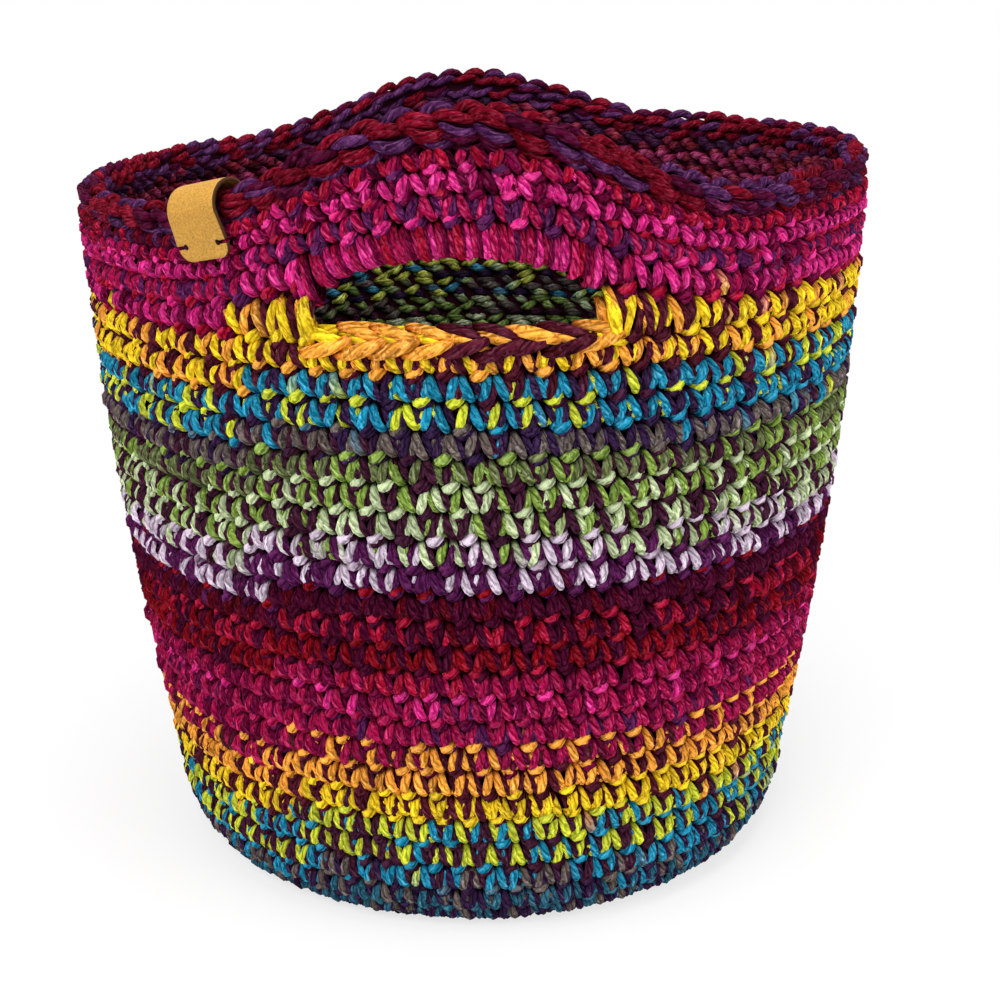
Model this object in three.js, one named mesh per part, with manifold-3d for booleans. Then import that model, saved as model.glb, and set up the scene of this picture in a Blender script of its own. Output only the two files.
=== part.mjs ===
// A crochet tote worked in one piece, with two arched hand slots, and a leather tag folded over its rim.
// Millimetres, +Z up. The front faces -Y and the origin is under the middle of the base.
import * as THREE from "three";
import { mergeVertices } from "three/addons/utils/BufferGeometryUtils.js";
import Module from "manifold-3d";

const wasm = await Module();
wasm.setup();

// Bag: outside sizes
const rimRadius = 141;
const footRadius = 120.5;
const flatRadius = 104;
const cornerHeight = 28;
const wallSwell = 4.5;
const sideHeight = 254;
const rimTilt = 5.5;
const rimTiltAngle = THREE.MathUtils.degToRad(40);
const wallThickness = 9;
const floorThickness = 9;

// Stitches: a round is one turn of the work, and each knob stands for a stitch
const roundPitch = 9.1;
const stitchWidth = 12.3;
const stitchRelief = 3;
const stitchSlant = -0.25;
const rimHeight = 11;
const rimBulge = 2.2;
const rimBraid = 1.2;

// Handles: the slots and the rise of the rounds over them
const slotWidth = 84;
const slotFloor = 212.5;
const slotEndRise = 10;
const slotRise = 24;
const frontHandleLift = 30.5;
const backHandleLift = 20.5;
const handleReach = 94;
const handleShift = -5;

// Leather tag
const tagAngle = THREE.MathUtils.degToRad(-125.5);
const tagLean = THREE.MathUtils.degToRad(-4);
const tagWidth = 20;
const tagThickness = 1.3;
const tagLeg = 18.5;
const tagTuck = 2.2;
const tagCornerRadius = 4;
const tagClearance = 0.35;
const tagLoopHeight = 2.8;
const slitFromEnd = 4.6;
const slitLength = 4.2;
const slitWidth = 1.1;
const slitHole = 1.8;

// Facets
const archSegments = 12;
const cornerSegments = 5;
const innerRoundStep = 5;

const columnsPerStep = 4;
const columns = columnsPerStep * Math.round((2 * Math.PI * rimRadius) / stitchWidth / columnsPerStep);
const cornerLength = (Math.PI / 2) * Math.sqrt(((footRadius - flatRadius) ** 2 + cornerHeight ** 2) / 2);
const cornerRounds = Math.max(2, Math.round(cornerLength / roundPitch));
const wallRise = sideHeight - rimHeight - cornerHeight;
const wallRounds = Math.max(2, Math.round(wallRise / roundPitch));
const totalRounds = cornerRounds + wallRounds;

/** Wall radius at a height above the rounded lower edge, before the stitches are sunk or raised. */
function wallRadius(height) {
  const share = (height - cornerHeight) / (sideHeight - cornerHeight);
  return footRadius + (rimRadius - footRadius) * share + wallSwell * Math.sin(Math.PI * share);
}

/** Point of the outside profile after a number of rounds, with its outward normal. */
function profileAt(rounds) {
  if (rounds < cornerRounds) {
    const turn = (rounds / cornerRounds) * (Math.PI / 2);
    const across = footRadius - flatRadius;
    const normal = new THREE.Vector2(Math.sin(turn) * cornerHeight, -Math.cos(turn) * across).normalize();
    return {
      radius: flatRadius + across * Math.sin(turn),
      height: cornerHeight * (1 - Math.cos(turn)),
      normal,
    };
  }
  const height = cornerHeight + ((rounds - cornerRounds) / wallRounds) * wallRise;
  return { radius: wallRadius(height), height, normal: new THREE.Vector2(1, 0) };
}

/** How far the handles lift the rounds at a point of the plan. */
function liftAt(x, angle) {
  const lift = Math.sin(angle) < 0 ? frontHandleLift : backHandleLift;
  const reach = Math.min(1, Math.abs(x - handleShift) / handleReach);
  return lift * Math.cos((reach * Math.PI) / 2) ** 2;
}

/** Height after the handles' lift and the tilt of the hand-worked rim. */
function workedHeight(height, x, angle) {
  const share = Math.max(0, (height - slotFloor) / (sideHeight - slotFloor));
  const tilt = rimTilt * Math.cos(angle - rimTiltAngle);
  return height + liftAt(x, angle) * share ** 0.4 + tilt * share;
}

const points = [];
const triangles = [];

/** Adds a ring of points and returns their numbers. Every second point may be sunk to make a braid. */
function addRing(count, offset, radius, height, braid = 0) {
  const ring = [];
  for (let i = 0; i < count; i += 1) {
    const angle = (2 * Math.PI * (i + offset)) / count;
    const reach = radius - braid * (i % 2);
    const x = reach * Math.cos(angle);
    ring.push(points.length / 3);
    points.push(x, reach * Math.sin(angle), workedHeight(height, x, angle));
  }
  return ring;
}

/** Adds a ring of half the columns whose flats, not its corners, keep the given radius. */
function addInsideRing(radius, height) {
  const count = columns / 2;
  return addRing(count, (totalRounds * stitchSlant) / 2, radius / Math.cos(Math.PI / count), height);
}

/** Joins two rings and a ring of crests between them into one round of four-sided knobs. */
function addKnobs(low, crests, high) {
  low.forEach((corner, i) => {
    const next = (i + 1) % low.length;
    triangles.push(corner, low[next], crests[i]);
    triangles.push(low[next], high[next], crests[i]);
    triangles.push(high[next], high[i], crests[i]);
    triangles.push(high[i], corner, crests[i]);
  });
}

/** Joins two rings of the same count by a plain strip. */
function addStrip(low, high) {
  low.forEach((corner, i) => {
    const next = (i + 1) % low.length;
    triangles.push(corner, low[next], high[i]);
    triangles.push(low[next], high[next], high[i]);
  });
}

/** Joins a ring to one of half its count. */
function addHalvingStrip(full, half) {
  half.forEach((corner, i) => {
    const next = (i + 1) % half.length;
    const start = full[2 * i];
    const middle = full[2 * i + 1];
    const end = full[(2 * i + 2) % full.length];
    triangles.push(start, middle, corner);
    triangles.push(middle, half[next], corner);
    triangles.push(middle, end, half[next]);
  });
}

/** Closes a ring with a fan to a point on the axis. */
function addFan(ring, height, facesDown) {
  const centre = points.length / 3;
  points.push(0, 0, height);
  ring.forEach((corner, i) => {
    const next = ring[(i + 1) % ring.length];
    triangles.push(...(facesDown ? [centre, next, corner] : [centre, corner, next]));
  });
}

/** Outside of the bag: the flat base, then one ring of knobs for each round up to the rim. */
function addOutside() {
  let low = addRing(columns, 0, flatRadius, 0);
  addFan(low, 0, true);
  for (let round = 0; round < totalRounds; round += 1) {
    const crest = profileAt(round + 0.5);
    const groove = profileAt(round + 1);
    const lowShift = round * stitchSlant;
    const crests = addRing(columns, lowShift + (1 + stitchSlant) / 2, crest.radius, crest.height);
    const high = addRing(
      columns,
      lowShift + stitchSlant,
      groove.radius - stitchRelief * groove.normal.x,
      groove.height - stitchRelief * groove.normal.y,
    );
    addKnobs(low, crests, high);
    low = high;
  }
  return low;
}

/** Rim: a thicker braided edge that stands proud of the wall and rolls over to the inside. */
function addRim(low) {
  const shift = totalRounds * stitchSlant;
  const middle = sideHeight - rimHeight / 2;
  const outer = wallRadius(middle) + rimBulge;
  const inner = wallRadius(middle) - wallThickness - rimBulge;
  const crests = addRing(columns, shift, outer, middle, rimBraid);
  const top = addRing(columns, shift, (outer + inner) / 2, sideHeight);
  addStrip(low, crests);
  addStrip(crests, top);
  const inside = addInsideRing(inner, middle);
  addHalvingStrip(top, inside);
  return inside;
}

/** Inside of the bag, a plain lining of the wall at its thickness, down to the floor. */
function addInside(rim) {
  let low = rim;
  for (let round = totalRounds; round > cornerRounds; round -= innerRoundStep) {
    const { radius, height } = profileAt(round);
    const ring = addInsideRing(radius - wallThickness, height);
    addStrip(low, ring);
    low = ring;
  }
  const inset = new THREE.Vector2(footRadius - flatRadius, cornerHeight - floorThickness);
  for (let step = 0; step <= 2; step += 1) {
    const turn = (step / 2) * (Math.PI / 2);
    const radius = flatRadius - wallThickness + inset.x * Math.cos(turn);
    const ring = addInsideRing(radius, cornerHeight - inset.y * Math.sin(turn));
    addStrip(low, ring);
    low = ring;
  }
  addFan(low, floorThickness, false);
}

/** Turns lists of points and triangles into a solid that can be joined and cut. */
function solidFrom(positions, indices) {
  return new wasm.Manifold(
    new wasm.Mesh({
      numProp: 3,
      vertProperties: Float32Array.from(positions),
      triVerts: Uint32Array.from(indices),
    }),
  );
}

/** Turns a closed three.js geometry into a solid. */
function solidFromGeometry(geometry) {
  geometry.deleteAttribute("normal");
  geometry.deleteAttribute("uv");
  const merged = mergeVertices(geometry, 1e-3);
  return solidFrom(merged.attributes.position.array, merged.index.array);
}

/** Turns a finished solid back into a geometry with flat-shaded normals. */
function geometryFrom(solid) {
  const mesh = solid.getMesh();
  const geometry = new THREE.BufferGeometry();
  geometry.setAttribute("position", new THREE.BufferAttribute(new Float32Array(mesh.vertProperties), 3));
  geometry.setIndex(new THREE.BufferAttribute(new Uint32Array(mesh.triVerts), 1));
  geometry.computeVertexNormals();
  return geometry;
}

/** Hand slot: a flat floor, short upright ends and an arch, cut straight through both walls. */
function slotCutter() {
  const half = slotWidth / 2;
  const spring = slotFloor + slotEndRise;
  const outline = new THREE.Shape();
  outline.moveTo(-half, slotFloor);
  outline.lineTo(half, slotFloor);
  outline.lineTo(half, spring);
  outline.absellipse(0, spring, half, slotRise - slotEndRise, 0, Math.PI);
  outline.closePath();
  const depth = 4 * (rimRadius + wallSwell);
  const geometry = new THREE.ExtrudeGeometry(outline, { depth, bevelEnabled: false, curveSegments: archSegments });
  geometry.rotateX(Math.PI / 2);
  geometry.translate(handleShift, depth / 2, 0);
  return solidFromGeometry(geometry);
}

/** The crochet body, with its slots cut. */
function crochetBody() {
  addInside(addRim(addOutside()));
  const material = new THREE.MeshStandardMaterial({ color: 0x8c2a5a, roughness: 0.95, metalness: 0 });
  const body = new THREE.Mesh(geometryFrom(solidFrom(points, triangles).subtract(slotCutter())), material);
  body.name = "crochet_body";
  return body;
}

/** Side view of the folded strip: two legs, the outer one tucked in under the rim, and the loop over it. */
function foldedBand(innerHalf, springHeight) {
  const outerHalf = innerHalf + tagThickness;
  const foot = -tagLeg;
  const band = new THREE.Shape();
  band.moveTo(-outerHalf + tagTuck, foot);
  band.lineTo(-innerHalf + tagTuck, foot);
  band.lineTo(-innerHalf, springHeight);
  band.absarc(0, springHeight, innerHalf, Math.PI, 0, true);
  band.lineTo(innerHalf, foot);
  band.lineTo(outerHalf, foot);
  band.lineTo(outerHalf, springHeight);
  band.absarc(0, springHeight, outerHalf, 0, Math.PI, false);
  band.closePath();
  return band;
}

/** Front outline of the tag: rounded lower corners and a slit in from each side to a round hole. */
function tagOutline(top) {
  const half = tagWidth / 2;
  const foot = -tagLeg;
  const slit = foot + slitFromEnd;
  const round = slitWidth / 2;
  const hole = slitHole / 2;
  const reach = half - slitLength + hole;
  const mouth = Math.asin(round / hole);
  const outline = new THREE.Shape();
  outline.moveTo(-half + tagCornerRadius, foot);
  outline.lineTo(half - tagCornerRadius, foot);
  outline.absarc(half - tagCornerRadius, foot + tagCornerRadius, tagCornerRadius, -Math.PI / 2, 0, false);
  outline.lineTo(half, slit - round);
  outline.absarc(reach, slit, hole, -mouth, mouth, true);
  outline.lineTo(half, slit + round);
  outline.lineTo(half, top);
  outline.lineTo(-half, top);
  outline.lineTo(-half, slit + round);
  outline.absarc(-reach, slit, hole, Math.PI - mouth, Math.PI + mouth, true);
  outline.lineTo(-half, slit - round);
  outline.absarc(-half + tagCornerRadius, foot + tagCornerRadius, tagCornerRadius, Math.PI, 1.5 * Math.PI, false);
  return outline;
}

/** The leather tag, folded over the rim and turned nearly as far as the rim slopes. */
function leatherTag() {
  const rimCentre = wallRadius(sideHeight - rimHeight / 2) - wallThickness / 2;
  const sagitta = rimCentre - Math.sqrt(rimCentre ** 2 - (tagWidth / 2) ** 2);
  const innerHalf = (wallThickness + sagitta) / 2 + rimBulge + tagClearance;
  const springHeight = tagLoopHeight - innerHalf;
  const extrude = { bevelEnabled: false, curveSegments: cornerSegments };
  const band = foldedBand(innerHalf, springHeight);
  const strip = new THREE.ExtrudeGeometry(band, { ...extrude, depth: tagWidth });
  strip.translate(0, 0, -tagWidth / 2);
  const axes = [new THREE.Vector3(0, 1, 0), new THREE.Vector3(0, 0, 1), new THREE.Vector3(1, 0, 0)];
  strip.applyMatrix4(new THREE.Matrix4().makeBasis(...axes));
  const reach = 2 * (innerHalf + tagThickness);
  const top = springHeight + innerHalf + 2 * tagThickness;
  const face = new THREE.ExtrudeGeometry(tagOutline(top), { ...extrude, depth: 2 * reach });
  face.rotateX(Math.PI / 2);
  face.translate(0, reach, 0);
  const geometry = geometryFrom(solidFromGeometry(strip).intersect(solidFromGeometry(face)));
  const material = new THREE.MeshStandardMaterial({ color: 0xc79a52, roughness: 0.6, metalness: 0 });
  const tag = new THREE.Mesh(geometry, material);
  tag.name = "leather_tag";

  const seatRadius = rimCentre - sagitta / 2;
  const along = tagWidth / 2 / seatRadius;
  const rimAt = (angle) => workedHeight(sideHeight, seatRadius * Math.cos(angle), angle);
  const slope = Math.atan2(rimAt(tagAngle + along) - rimAt(tagAngle - along), tagWidth);
  tag.rotation.y = -slope - tagLean;
  const seat = new THREE.Group();
  seat.add(tag);
  seat.rotation.z = tagAngle + Math.PI / 2;
  seat.position.set(seatRadius * Math.cos(tagAngle), seatRadius * Math.sin(tagAngle), rimAt(tagAngle));
  return seat;
}

const tote = new THREE.Group();
tote.name = "crochet_tote";
tote.add(crochetBody());
tote.add(leatherTag());

export default tote;
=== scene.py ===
"""Dresses the crochet tote: every stitch as strands of yarn, the leather tag, studio light and camera."""

from __future__ import annotations

import logging
import math
from dataclasses import dataclass, field
from enum import Enum
from typing import Any, Sequence

import bpy
import numpy as np
from mathutils import Matrix, Vector
from mathutils.geometry import delaunay_2d_cdt


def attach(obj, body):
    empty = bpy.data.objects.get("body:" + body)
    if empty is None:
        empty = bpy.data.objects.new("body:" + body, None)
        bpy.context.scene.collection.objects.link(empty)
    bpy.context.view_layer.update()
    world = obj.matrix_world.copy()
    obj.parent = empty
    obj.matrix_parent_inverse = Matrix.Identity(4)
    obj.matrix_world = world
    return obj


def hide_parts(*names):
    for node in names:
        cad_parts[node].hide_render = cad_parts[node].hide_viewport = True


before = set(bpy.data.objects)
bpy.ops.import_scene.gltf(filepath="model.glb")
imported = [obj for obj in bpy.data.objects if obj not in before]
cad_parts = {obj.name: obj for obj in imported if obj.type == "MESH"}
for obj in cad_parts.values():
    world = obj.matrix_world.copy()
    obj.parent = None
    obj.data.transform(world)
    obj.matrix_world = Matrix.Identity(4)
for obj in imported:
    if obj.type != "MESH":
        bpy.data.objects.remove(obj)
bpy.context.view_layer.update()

LOG = logging.getLogger("crochet_tote")
MM = 0.001
TAU = 2.0 * math.pi
BODY = "root"
# Point colours of the yarn, which carry the painted shade at the strands' roots.
COLOUR_LAYER = "yarn_colour_and_painted_shade"
LAY_MAP = "YarnLay"
BAKE_MAP = "OFBake"
TINY = 1e-9
MIX_SHARE, MIX_LOW, MIX_HIGH, MIXED = 0, 6, 7, 2


class Yarn(Enum):
    """Dyed colours of the yarn, as display red, green and blue out of 255."""

    AUBERGINE = (68, 6, 37)
    WINE = (102, 5, 50)
    COCOA = (76, 21, 37)
    UMBER = (62, 25, 46)
    INDIGO = (50, 29, 63)
    PLUM = (82, 24, 74)
    SLATE = (52, 58, 66)
    TAUPE = (98, 86, 82)
    TEAL = (40, 94, 116)
    CYAN = (26, 131, 166)
    LIME = (200, 208, 56)
    YELLOW = (242, 204, 38)
    ORANGE = (240, 160, 58)
    MAGENTA = (158, 16, 70)
    PINK = (198, 34, 118)
    CRIMSON = (154, 12, 46)
    RED = (122, 5, 20)
    GARNET = (104, 6, 26)
    GRAPE = (74, 32, 76)
    MAROON = (84, 4, 20)
    LILAC = (208, 190, 208)
    PALE_GREEN = (186, 200, 156)
    LEAF = (124, 150, 64)
    OLIVE = (98, 107, 66)

    def linear(self) -> np.ndarray:
        """Returns the colour as scene-linear values."""
        return to_linear(self.value)


def to_linear(display: Sequence[float]) -> np.ndarray:
    """Turns a display colour into scene-linear values, by the usual sRGB curve.

    Args:
        display: Red, green and blue out of 255.

    Returns:
        Three scene-linear values from 0 to 1.
    """
    share = np.asarray(display, dtype=float) / 255.0
    return np.where(share <= 0.04045, share / 12.92, ((share + 0.055) / 1.055) ** 2.4)


class Strand(Enum):
    """The three strands that are worked together, and the loops that show between the legs."""

    GROUND = 0
    FIRST = 1
    SECOND = 2
    LOOP = 3


@dataclass(frozen=True)
class ColourRun:
    """Colours of one strand, by the round of the wall at which each begins."""

    stops: tuple[tuple[float, Yarn], ...]
    blend: float = 0.02

    def at(self, rounds: np.ndarray) -> np.ndarray:
        """Finds the strand's colour.

        Args:
            rounds: Places along the work, in rounds.

        Returns:
            Scene-linear colours, with one more axis than the input.
        """
        places: list[float] = []
        shades: list[np.ndarray] = []
        for index, (start, yarn) in enumerate(self.stops):
            if index > 0:
                places.append(start - self.blend / 2)
                shades.append(self.stops[index - 1][1].linear())
            places.append(start + self.blend / 2)
            shades.append(yarn.linear())
        table = np.stack(shades)
        return np.stack([np.interp(rounds, places, table[:, channel]) for channel in range(3)], axis=-1)


GROUND_RUN = ColourRun((
    (-20, Yarn.PLUM), (-10, Yarn.UMBER), (-4.5, Yarn.INDIGO), (0.6, Yarn.UMBER), (3.2, Yarn.COCOA),
    (5.6, Yarn.WINE), (6.6, Yarn.PLUM), (7.3, Yarn.WINE), (9, Yarn.AUBERGINE), (12, Yarn.PLUM),
    (13.6, Yarn.UMBER), (17.4, Yarn.INDIGO), (19.6, Yarn.COCOA), (21.9, Yarn.WINE), (23.1, Yarn.PLUM),
    (24, Yarn.WINE), (25.7, Yarn.AUBERGINE),
))
FIRST_RUN = ColourRun((
    (-20, Yarn.PLUM), (-12, Yarn.LILAC), (-10.5, Yarn.PALE_GREEN), (-8, Yarn.LEAF), (-5.5, Yarn.OLIVE),
    (-3.8, Yarn.SLATE), (-2, Yarn.TEAL), (-0.2, Yarn.CYAN), (0.8, Yarn.LIME), (2.9, Yarn.YELLOW),
    (3.9, Yarn.ORANGE), (5, Yarn.MAGENTA), (9, Yarn.RED), (10.2, Yarn.CRIMSON), (10.7, Yarn.MAROON),
    (11.3, Yarn.AUBERGINE), (11.9, Yarn.LILAC), (13.5, Yarn.PALE_GREEN), (14.5, Yarn.LEAF), (16.1, Yarn.OLIVE),
    (17, Yarn.TAUPE), (18, Yarn.CYAN), (20, Yarn.YELLOW), (21.9, Yarn.PINK), (23.2, Yarn.MAGENTA),
    (24.1, Yarn.PINK), (25.3, Yarn.CRIMSON), (26.1, Yarn.GARNET),
))
SECOND_RUN = ColourRun((
    (-20, Yarn.LILAC), (-11.5, Yarn.PALE_GREEN), (-9.5, Yarn.LEAF), (-6.5, Yarn.OLIVE), (-4.2, Yarn.TEAL),
    (-2, Yarn.TAUPE), (0.7, Yarn.CYAN), (2.8, Yarn.ORANGE), (3.3, Yarn.YELLOW), (4.1, Yarn.ORANGE),
    (6, Yarn.MAGENTA), (7, Yarn.PINK), (8, Yarn.CRIMSON), (9, Yarn.RED), (11, Yarn.MAROON), (12, Yarn.PLUM),
    (13, Yarn.LILAC), (13.6, Yarn.LEAF), (15, Yarn.PALE_GREEN), (15.7, Yarn.LEAF), (17, Yarn.TAUPE),
    (17.6, Yarn.CYAN), (18, Yarn.LIME), (19.3, Yarn.CYAN), (19.6, Yarn.LIME), (20, Yarn.ORANGE),
    (21.9, Yarn.MAGENTA), (23.3, Yarn.PLUM), (23.7, Yarn.PINK), (25, Yarn.MAGENTA), (26.1, Yarn.GRAPE),
))
LOOP_RUN = ColourRun((
    (-20, Yarn.PLUM), (-11, Yarn.LEAF), (-6, Yarn.TAUPE), (-3.8, Yarn.TEAL), (0, Yarn.TAUPE), (0.7, Yarn.CYAN),
    (2.8, Yarn.LIME), (3.4, Yarn.YELLOW), (5, Yarn.ORANGE), (7, Yarn.MAGENTA), (8, Yarn.PINK),
    (9, Yarn.CRIMSON), (10, Yarn.RED), (11, Yarn.CRIMSON), (12, Yarn.RED), (13, Yarn.PLUM), (13.5, Yarn.LILAC),
    (15, Yarn.PALE_GREEN), (17, Yarn.LEAF), (17.7, Yarn.TAUPE), (18.4, Yarn.CYAN), (19, Yarn.LIME),
    (20, Yarn.ORANGE), (21, Yarn.YELLOW), (22.2, Yarn.CRIMSON), (23.2, Yarn.PINK), (24, Yarn.CRIMSON),
    (24.8, Yarn.PINK), (25.6, Yarn.PLUM),
))


@dataclass(frozen=True)
class BagShape:
    """Outside form of the bag in metres, shared by every part of the crochet."""

    rim_radius: float = 141 * MM
    foot_radius: float = 120.5 * MM
    flat_radius: float = 104 * MM
    corner_height: float = 28 * MM
    wall_swell: float = 4.5 * MM
    side_height: float = 254 * MM
    rim_height: float = 11 * MM
    rim_tilt: float = 5.5 * MM
    rim_tilt_angle: float = math.radians(40)
    wall_thickness: float = 9 * MM
    slot_floor: float = 212.5 * MM
    slot_width: float = 84 * MM
    front_handle_lift: float = 30.5 * MM
    back_handle_lift: float = 20.5 * MM
    handle_reach: float = 94 * MM
    handle_shift: float = -5 * MM
    slot_end_rise: float = 10 * MM
    slot_rise: float = 24 * MM
    lift_power: float = 0.4
    lift_limit: float = 1.2
    roll_half_width: float = 3.0 * MM
    roll_half_height: float = 4.8 * MM
    roll_drop: float = 6.6 * MM
    base_rounds: int = 11
    corner_rounds: int = 4
    wall_start: int = 1
    first_height: float = 26.5 * MM
    slot_round: int = 21
    round_ease: float = 0.06
    floor_edge: float = 2.2 * MM
    slope_step: float = 0.08
    handle_shares: tuple[float, ...] = (0.0, 0.26, 0.52, 0.70, 0.86, 1.0)
    stitches: int = 88
    seam_angle: float = math.radians(-121.0)

    @property
    def centre(self) -> int:
        """Returns the round at the middle of the base."""
        return self.wall_start - self.corner_rounds - self.base_rounds

    @property
    def rim_start(self) -> int:
        """Returns the round at the foot of the rim."""
        return self.slot_round + len(self.handle_shares) - 1

    @property
    def stitch_angle(self) -> float:
        """Returns the angle that one stitch takes."""
        return TAU / self.stitches

    def wall_radius(self, height: np.ndarray) -> np.ndarray:
        """Finds the wall's radius.

        Args:
            height: Heights above the floor.

        Returns:
            Radii of the wall at those heights.
        """
        share = (height - self.corner_height) / (self.side_height - self.corner_height)
        return self.foot_radius + (self.rim_radius - self.foot_radius) * share + self.wall_swell * np.sin(
            np.pi * np.clip(share, 0.0, 1.0)
        )

    def profile(self, rounds: np.ndarray) -> tuple[np.ndarray, np.ndarray]:
        """Follows the outside of the bag from the middle of its base to its rim.

        Args:
            rounds: Places along the work, in rounds, with the wall's first round at wall_start.

        Returns:
            Radius and height at each place, before the handles lift the rounds.
        """
        corner = float(self.wall_start - self.corner_rounds)
        full = math.acos(1.0 - self.first_height / self.corner_height)
        turn = np.clip((rounds - corner) / self.corner_rounds, 0.0, 1.0) * full
        flat = self.flat_radius * np.clip((rounds - self.centre) / self.base_rounds, 0.0, 1.0)
        corner_radius = flat + (self.foot_radius - self.flat_radius) * np.sin(turn)
        corner_rise = self.corner_height * (1.0 - np.cos(turn))
        share = np.clip((rounds - self.wall_start) / (self.slot_round - self.wall_start), 0.0, 1.0)
        last = self.slot_floor - self.floor_edge
        eased = share + self.round_ease * share * (1.0 - share)
        wall_rise = self.first_height + (last - self.first_height) * eased
        top = self.side_height - self.rim_height
        steps = [self.slot_round + index for index in range(len(self.handle_shares))] + [self.rim_start + 1]
        levels = [(top - last) * part for part in self.handle_shares] + [self.side_height - last]
        wall_rise = wall_rise + np.interp(rounds, steps, levels)
        on_wall = rounds >= self.wall_start
        radius = np.where(on_wall, self.wall_radius(wall_rise), corner_radius)
        return radius, np.where(on_wall, wall_rise, corner_rise)

    def worked_height(self, height: np.ndarray, x: np.ndarray, angle: np.ndarray) -> np.ndarray:
        """Adds the handles' lift and the slope of the hand-worked rim.

        Args:
            height: Heights before the lift.
            x: Sideways places in the plan.
            angle: Angles round the bag.

        Returns:
            Heights of the worked rounds.
        """
        share = (height - self.slot_floor) / (self.side_height - self.slot_floor)
        share = np.clip(share, 0.0, self.lift_limit)
        reach = np.minimum(1.0, np.abs(x - self.handle_shift) / self.handle_reach)
        lift = np.where(np.sin(angle) < 0.0, self.front_handle_lift, self.back_handle_lift)
        lift = lift * np.cos(reach * math.pi / 2) ** 2
        tilt = self.rim_tilt * np.cos(angle - self.rim_tilt_angle)
        return height + lift * share**self.lift_power + tilt * share

    def slope(self, rounds: np.ndarray) -> tuple[np.ndarray, np.ndarray]:
        """Finds the outward direction in the plane of the profile.

        Args:
            rounds: Places along the work.

        Returns:
            The direction's parts along the radius and up.
        """
        radius_a, height_a = self.profile(rounds - self.slope_step)
        radius_b, height_b = self.profile(rounds + self.slope_step)
        along = np.stack([radius_b - radius_a, height_b - height_a], axis=-1)
        along /= np.maximum(np.linalg.norm(along, axis=-1, keepdims=True), TINY)
        return along[..., 1], -along[..., 0]

    def place(self, rounds: np.ndarray, angle: np.ndarray, depth: np.ndarray) -> tuple[np.ndarray, np.ndarray]:
        """Puts points on the bag.

        Args:
            rounds: Places along the work.
            angle: Angles round the bag.
            depth: Distances outward from the surface that the stitches' crests reach.

        Returns:
            Points and outward directions, each with a last axis of three.
        """
        rounds, angle, depth = np.broadcast_arrays(rounds, angle, depth)
        radius, height = self.profile(rounds)
        out, up = self.slope(rounds)
        reach = radius + depth * out
        level = height + depth * up
        cos, sin = np.cos(angle), np.sin(angle)
        x = reach * cos
        points = np.stack([x, reach * sin, self.worked_height(level, x, angle)], axis=-1)
        return points, np.stack([out * cos, out * sin, up], axis=-1)

    def roll(self, angle: np.ndarray, around: np.ndarray, reach: float) -> tuple[np.ndarray, np.ndarray]:
        """Puts points on the roll of the rim.

        Args:
            angle: Angles round the bag.
            around: Angles round the roll, from outward through up to inward.
            reach: Distance from the middle of the roll, as a share of its half width.

        Returns:
            Points and outward directions.
        """
        middle = self.side_height - self.roll_drop
        radius = self.wall_radius(np.asarray(middle)) - self.wall_thickness / 2
        radius = radius + reach * self.roll_half_width * np.cos(around)
        level = middle + reach * self.roll_half_height * np.sin(around)
        cos, sin = np.cos(angle), np.sin(angle)
        x = radius * cos
        points = np.stack([x, radius * sin, self.worked_height(level, x, angle)], axis=-1)
        return points, np.stack([np.cos(around) * cos, np.cos(around) * sin, np.sin(around)], axis=-1)

    def arch(self, x: np.ndarray) -> np.ndarray:
        """Finds the height of the arched upper edge of a hand slot.

        Args:
            x: Sideways places in the plan.

        Returns:
            Heights of the edge.
        """
        share = np.clip(np.abs(x - self.handle_shift) / (self.slot_width / 2), 0.0, 1.0)
        arched = (self.slot_rise - self.slot_end_rise) * np.sqrt(1.0 - share**2)
        return self.slot_floor + self.slot_end_rise + arched

    def in_slot(self, points: np.ndarray, margin: float = 0.0) -> np.ndarray:
        """Tells which points lie in the opening of a hand slot, front or back.

        Args:
            points: Places on the wall.
            margin: Added to the opening on every side, in metres.

        Returns:
            True where the place lies in a slot.
        """
        x, z = points[..., 0], points[..., 2]
        beside = np.abs(x - self.handle_shift) < self.slot_width / 2 + margin
        return beside & (z > self.slot_floor - margin) & (z < self.arch(x) + margin)


SHAPE = BagShape()
WAVES_ROUND = (2, 3, 5, 9, 14)
WAVE_PHASE = 2.3
WAVE_OFFSET = 1.7
WAVE_SIZE = 2.2


def wander(angle: np.ndarray, seed: float) -> np.ndarray:
    """Makes a slow, repeatable unevenness round the bag.

    Args:
        angle: Angles round the bag.
        seed: Picks one of many such curves.

    Returns:
        Values between about -1 and 1.
    """
    total = np.zeros_like(angle)
    for count in WAVES_ROUND:
        phase = seed * (WAVE_OFFSET + count) * WAVE_PHASE
        total = total + np.sin(count * angle + phase) / math.sqrt(count)
    return total / WAVE_SIZE


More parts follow.
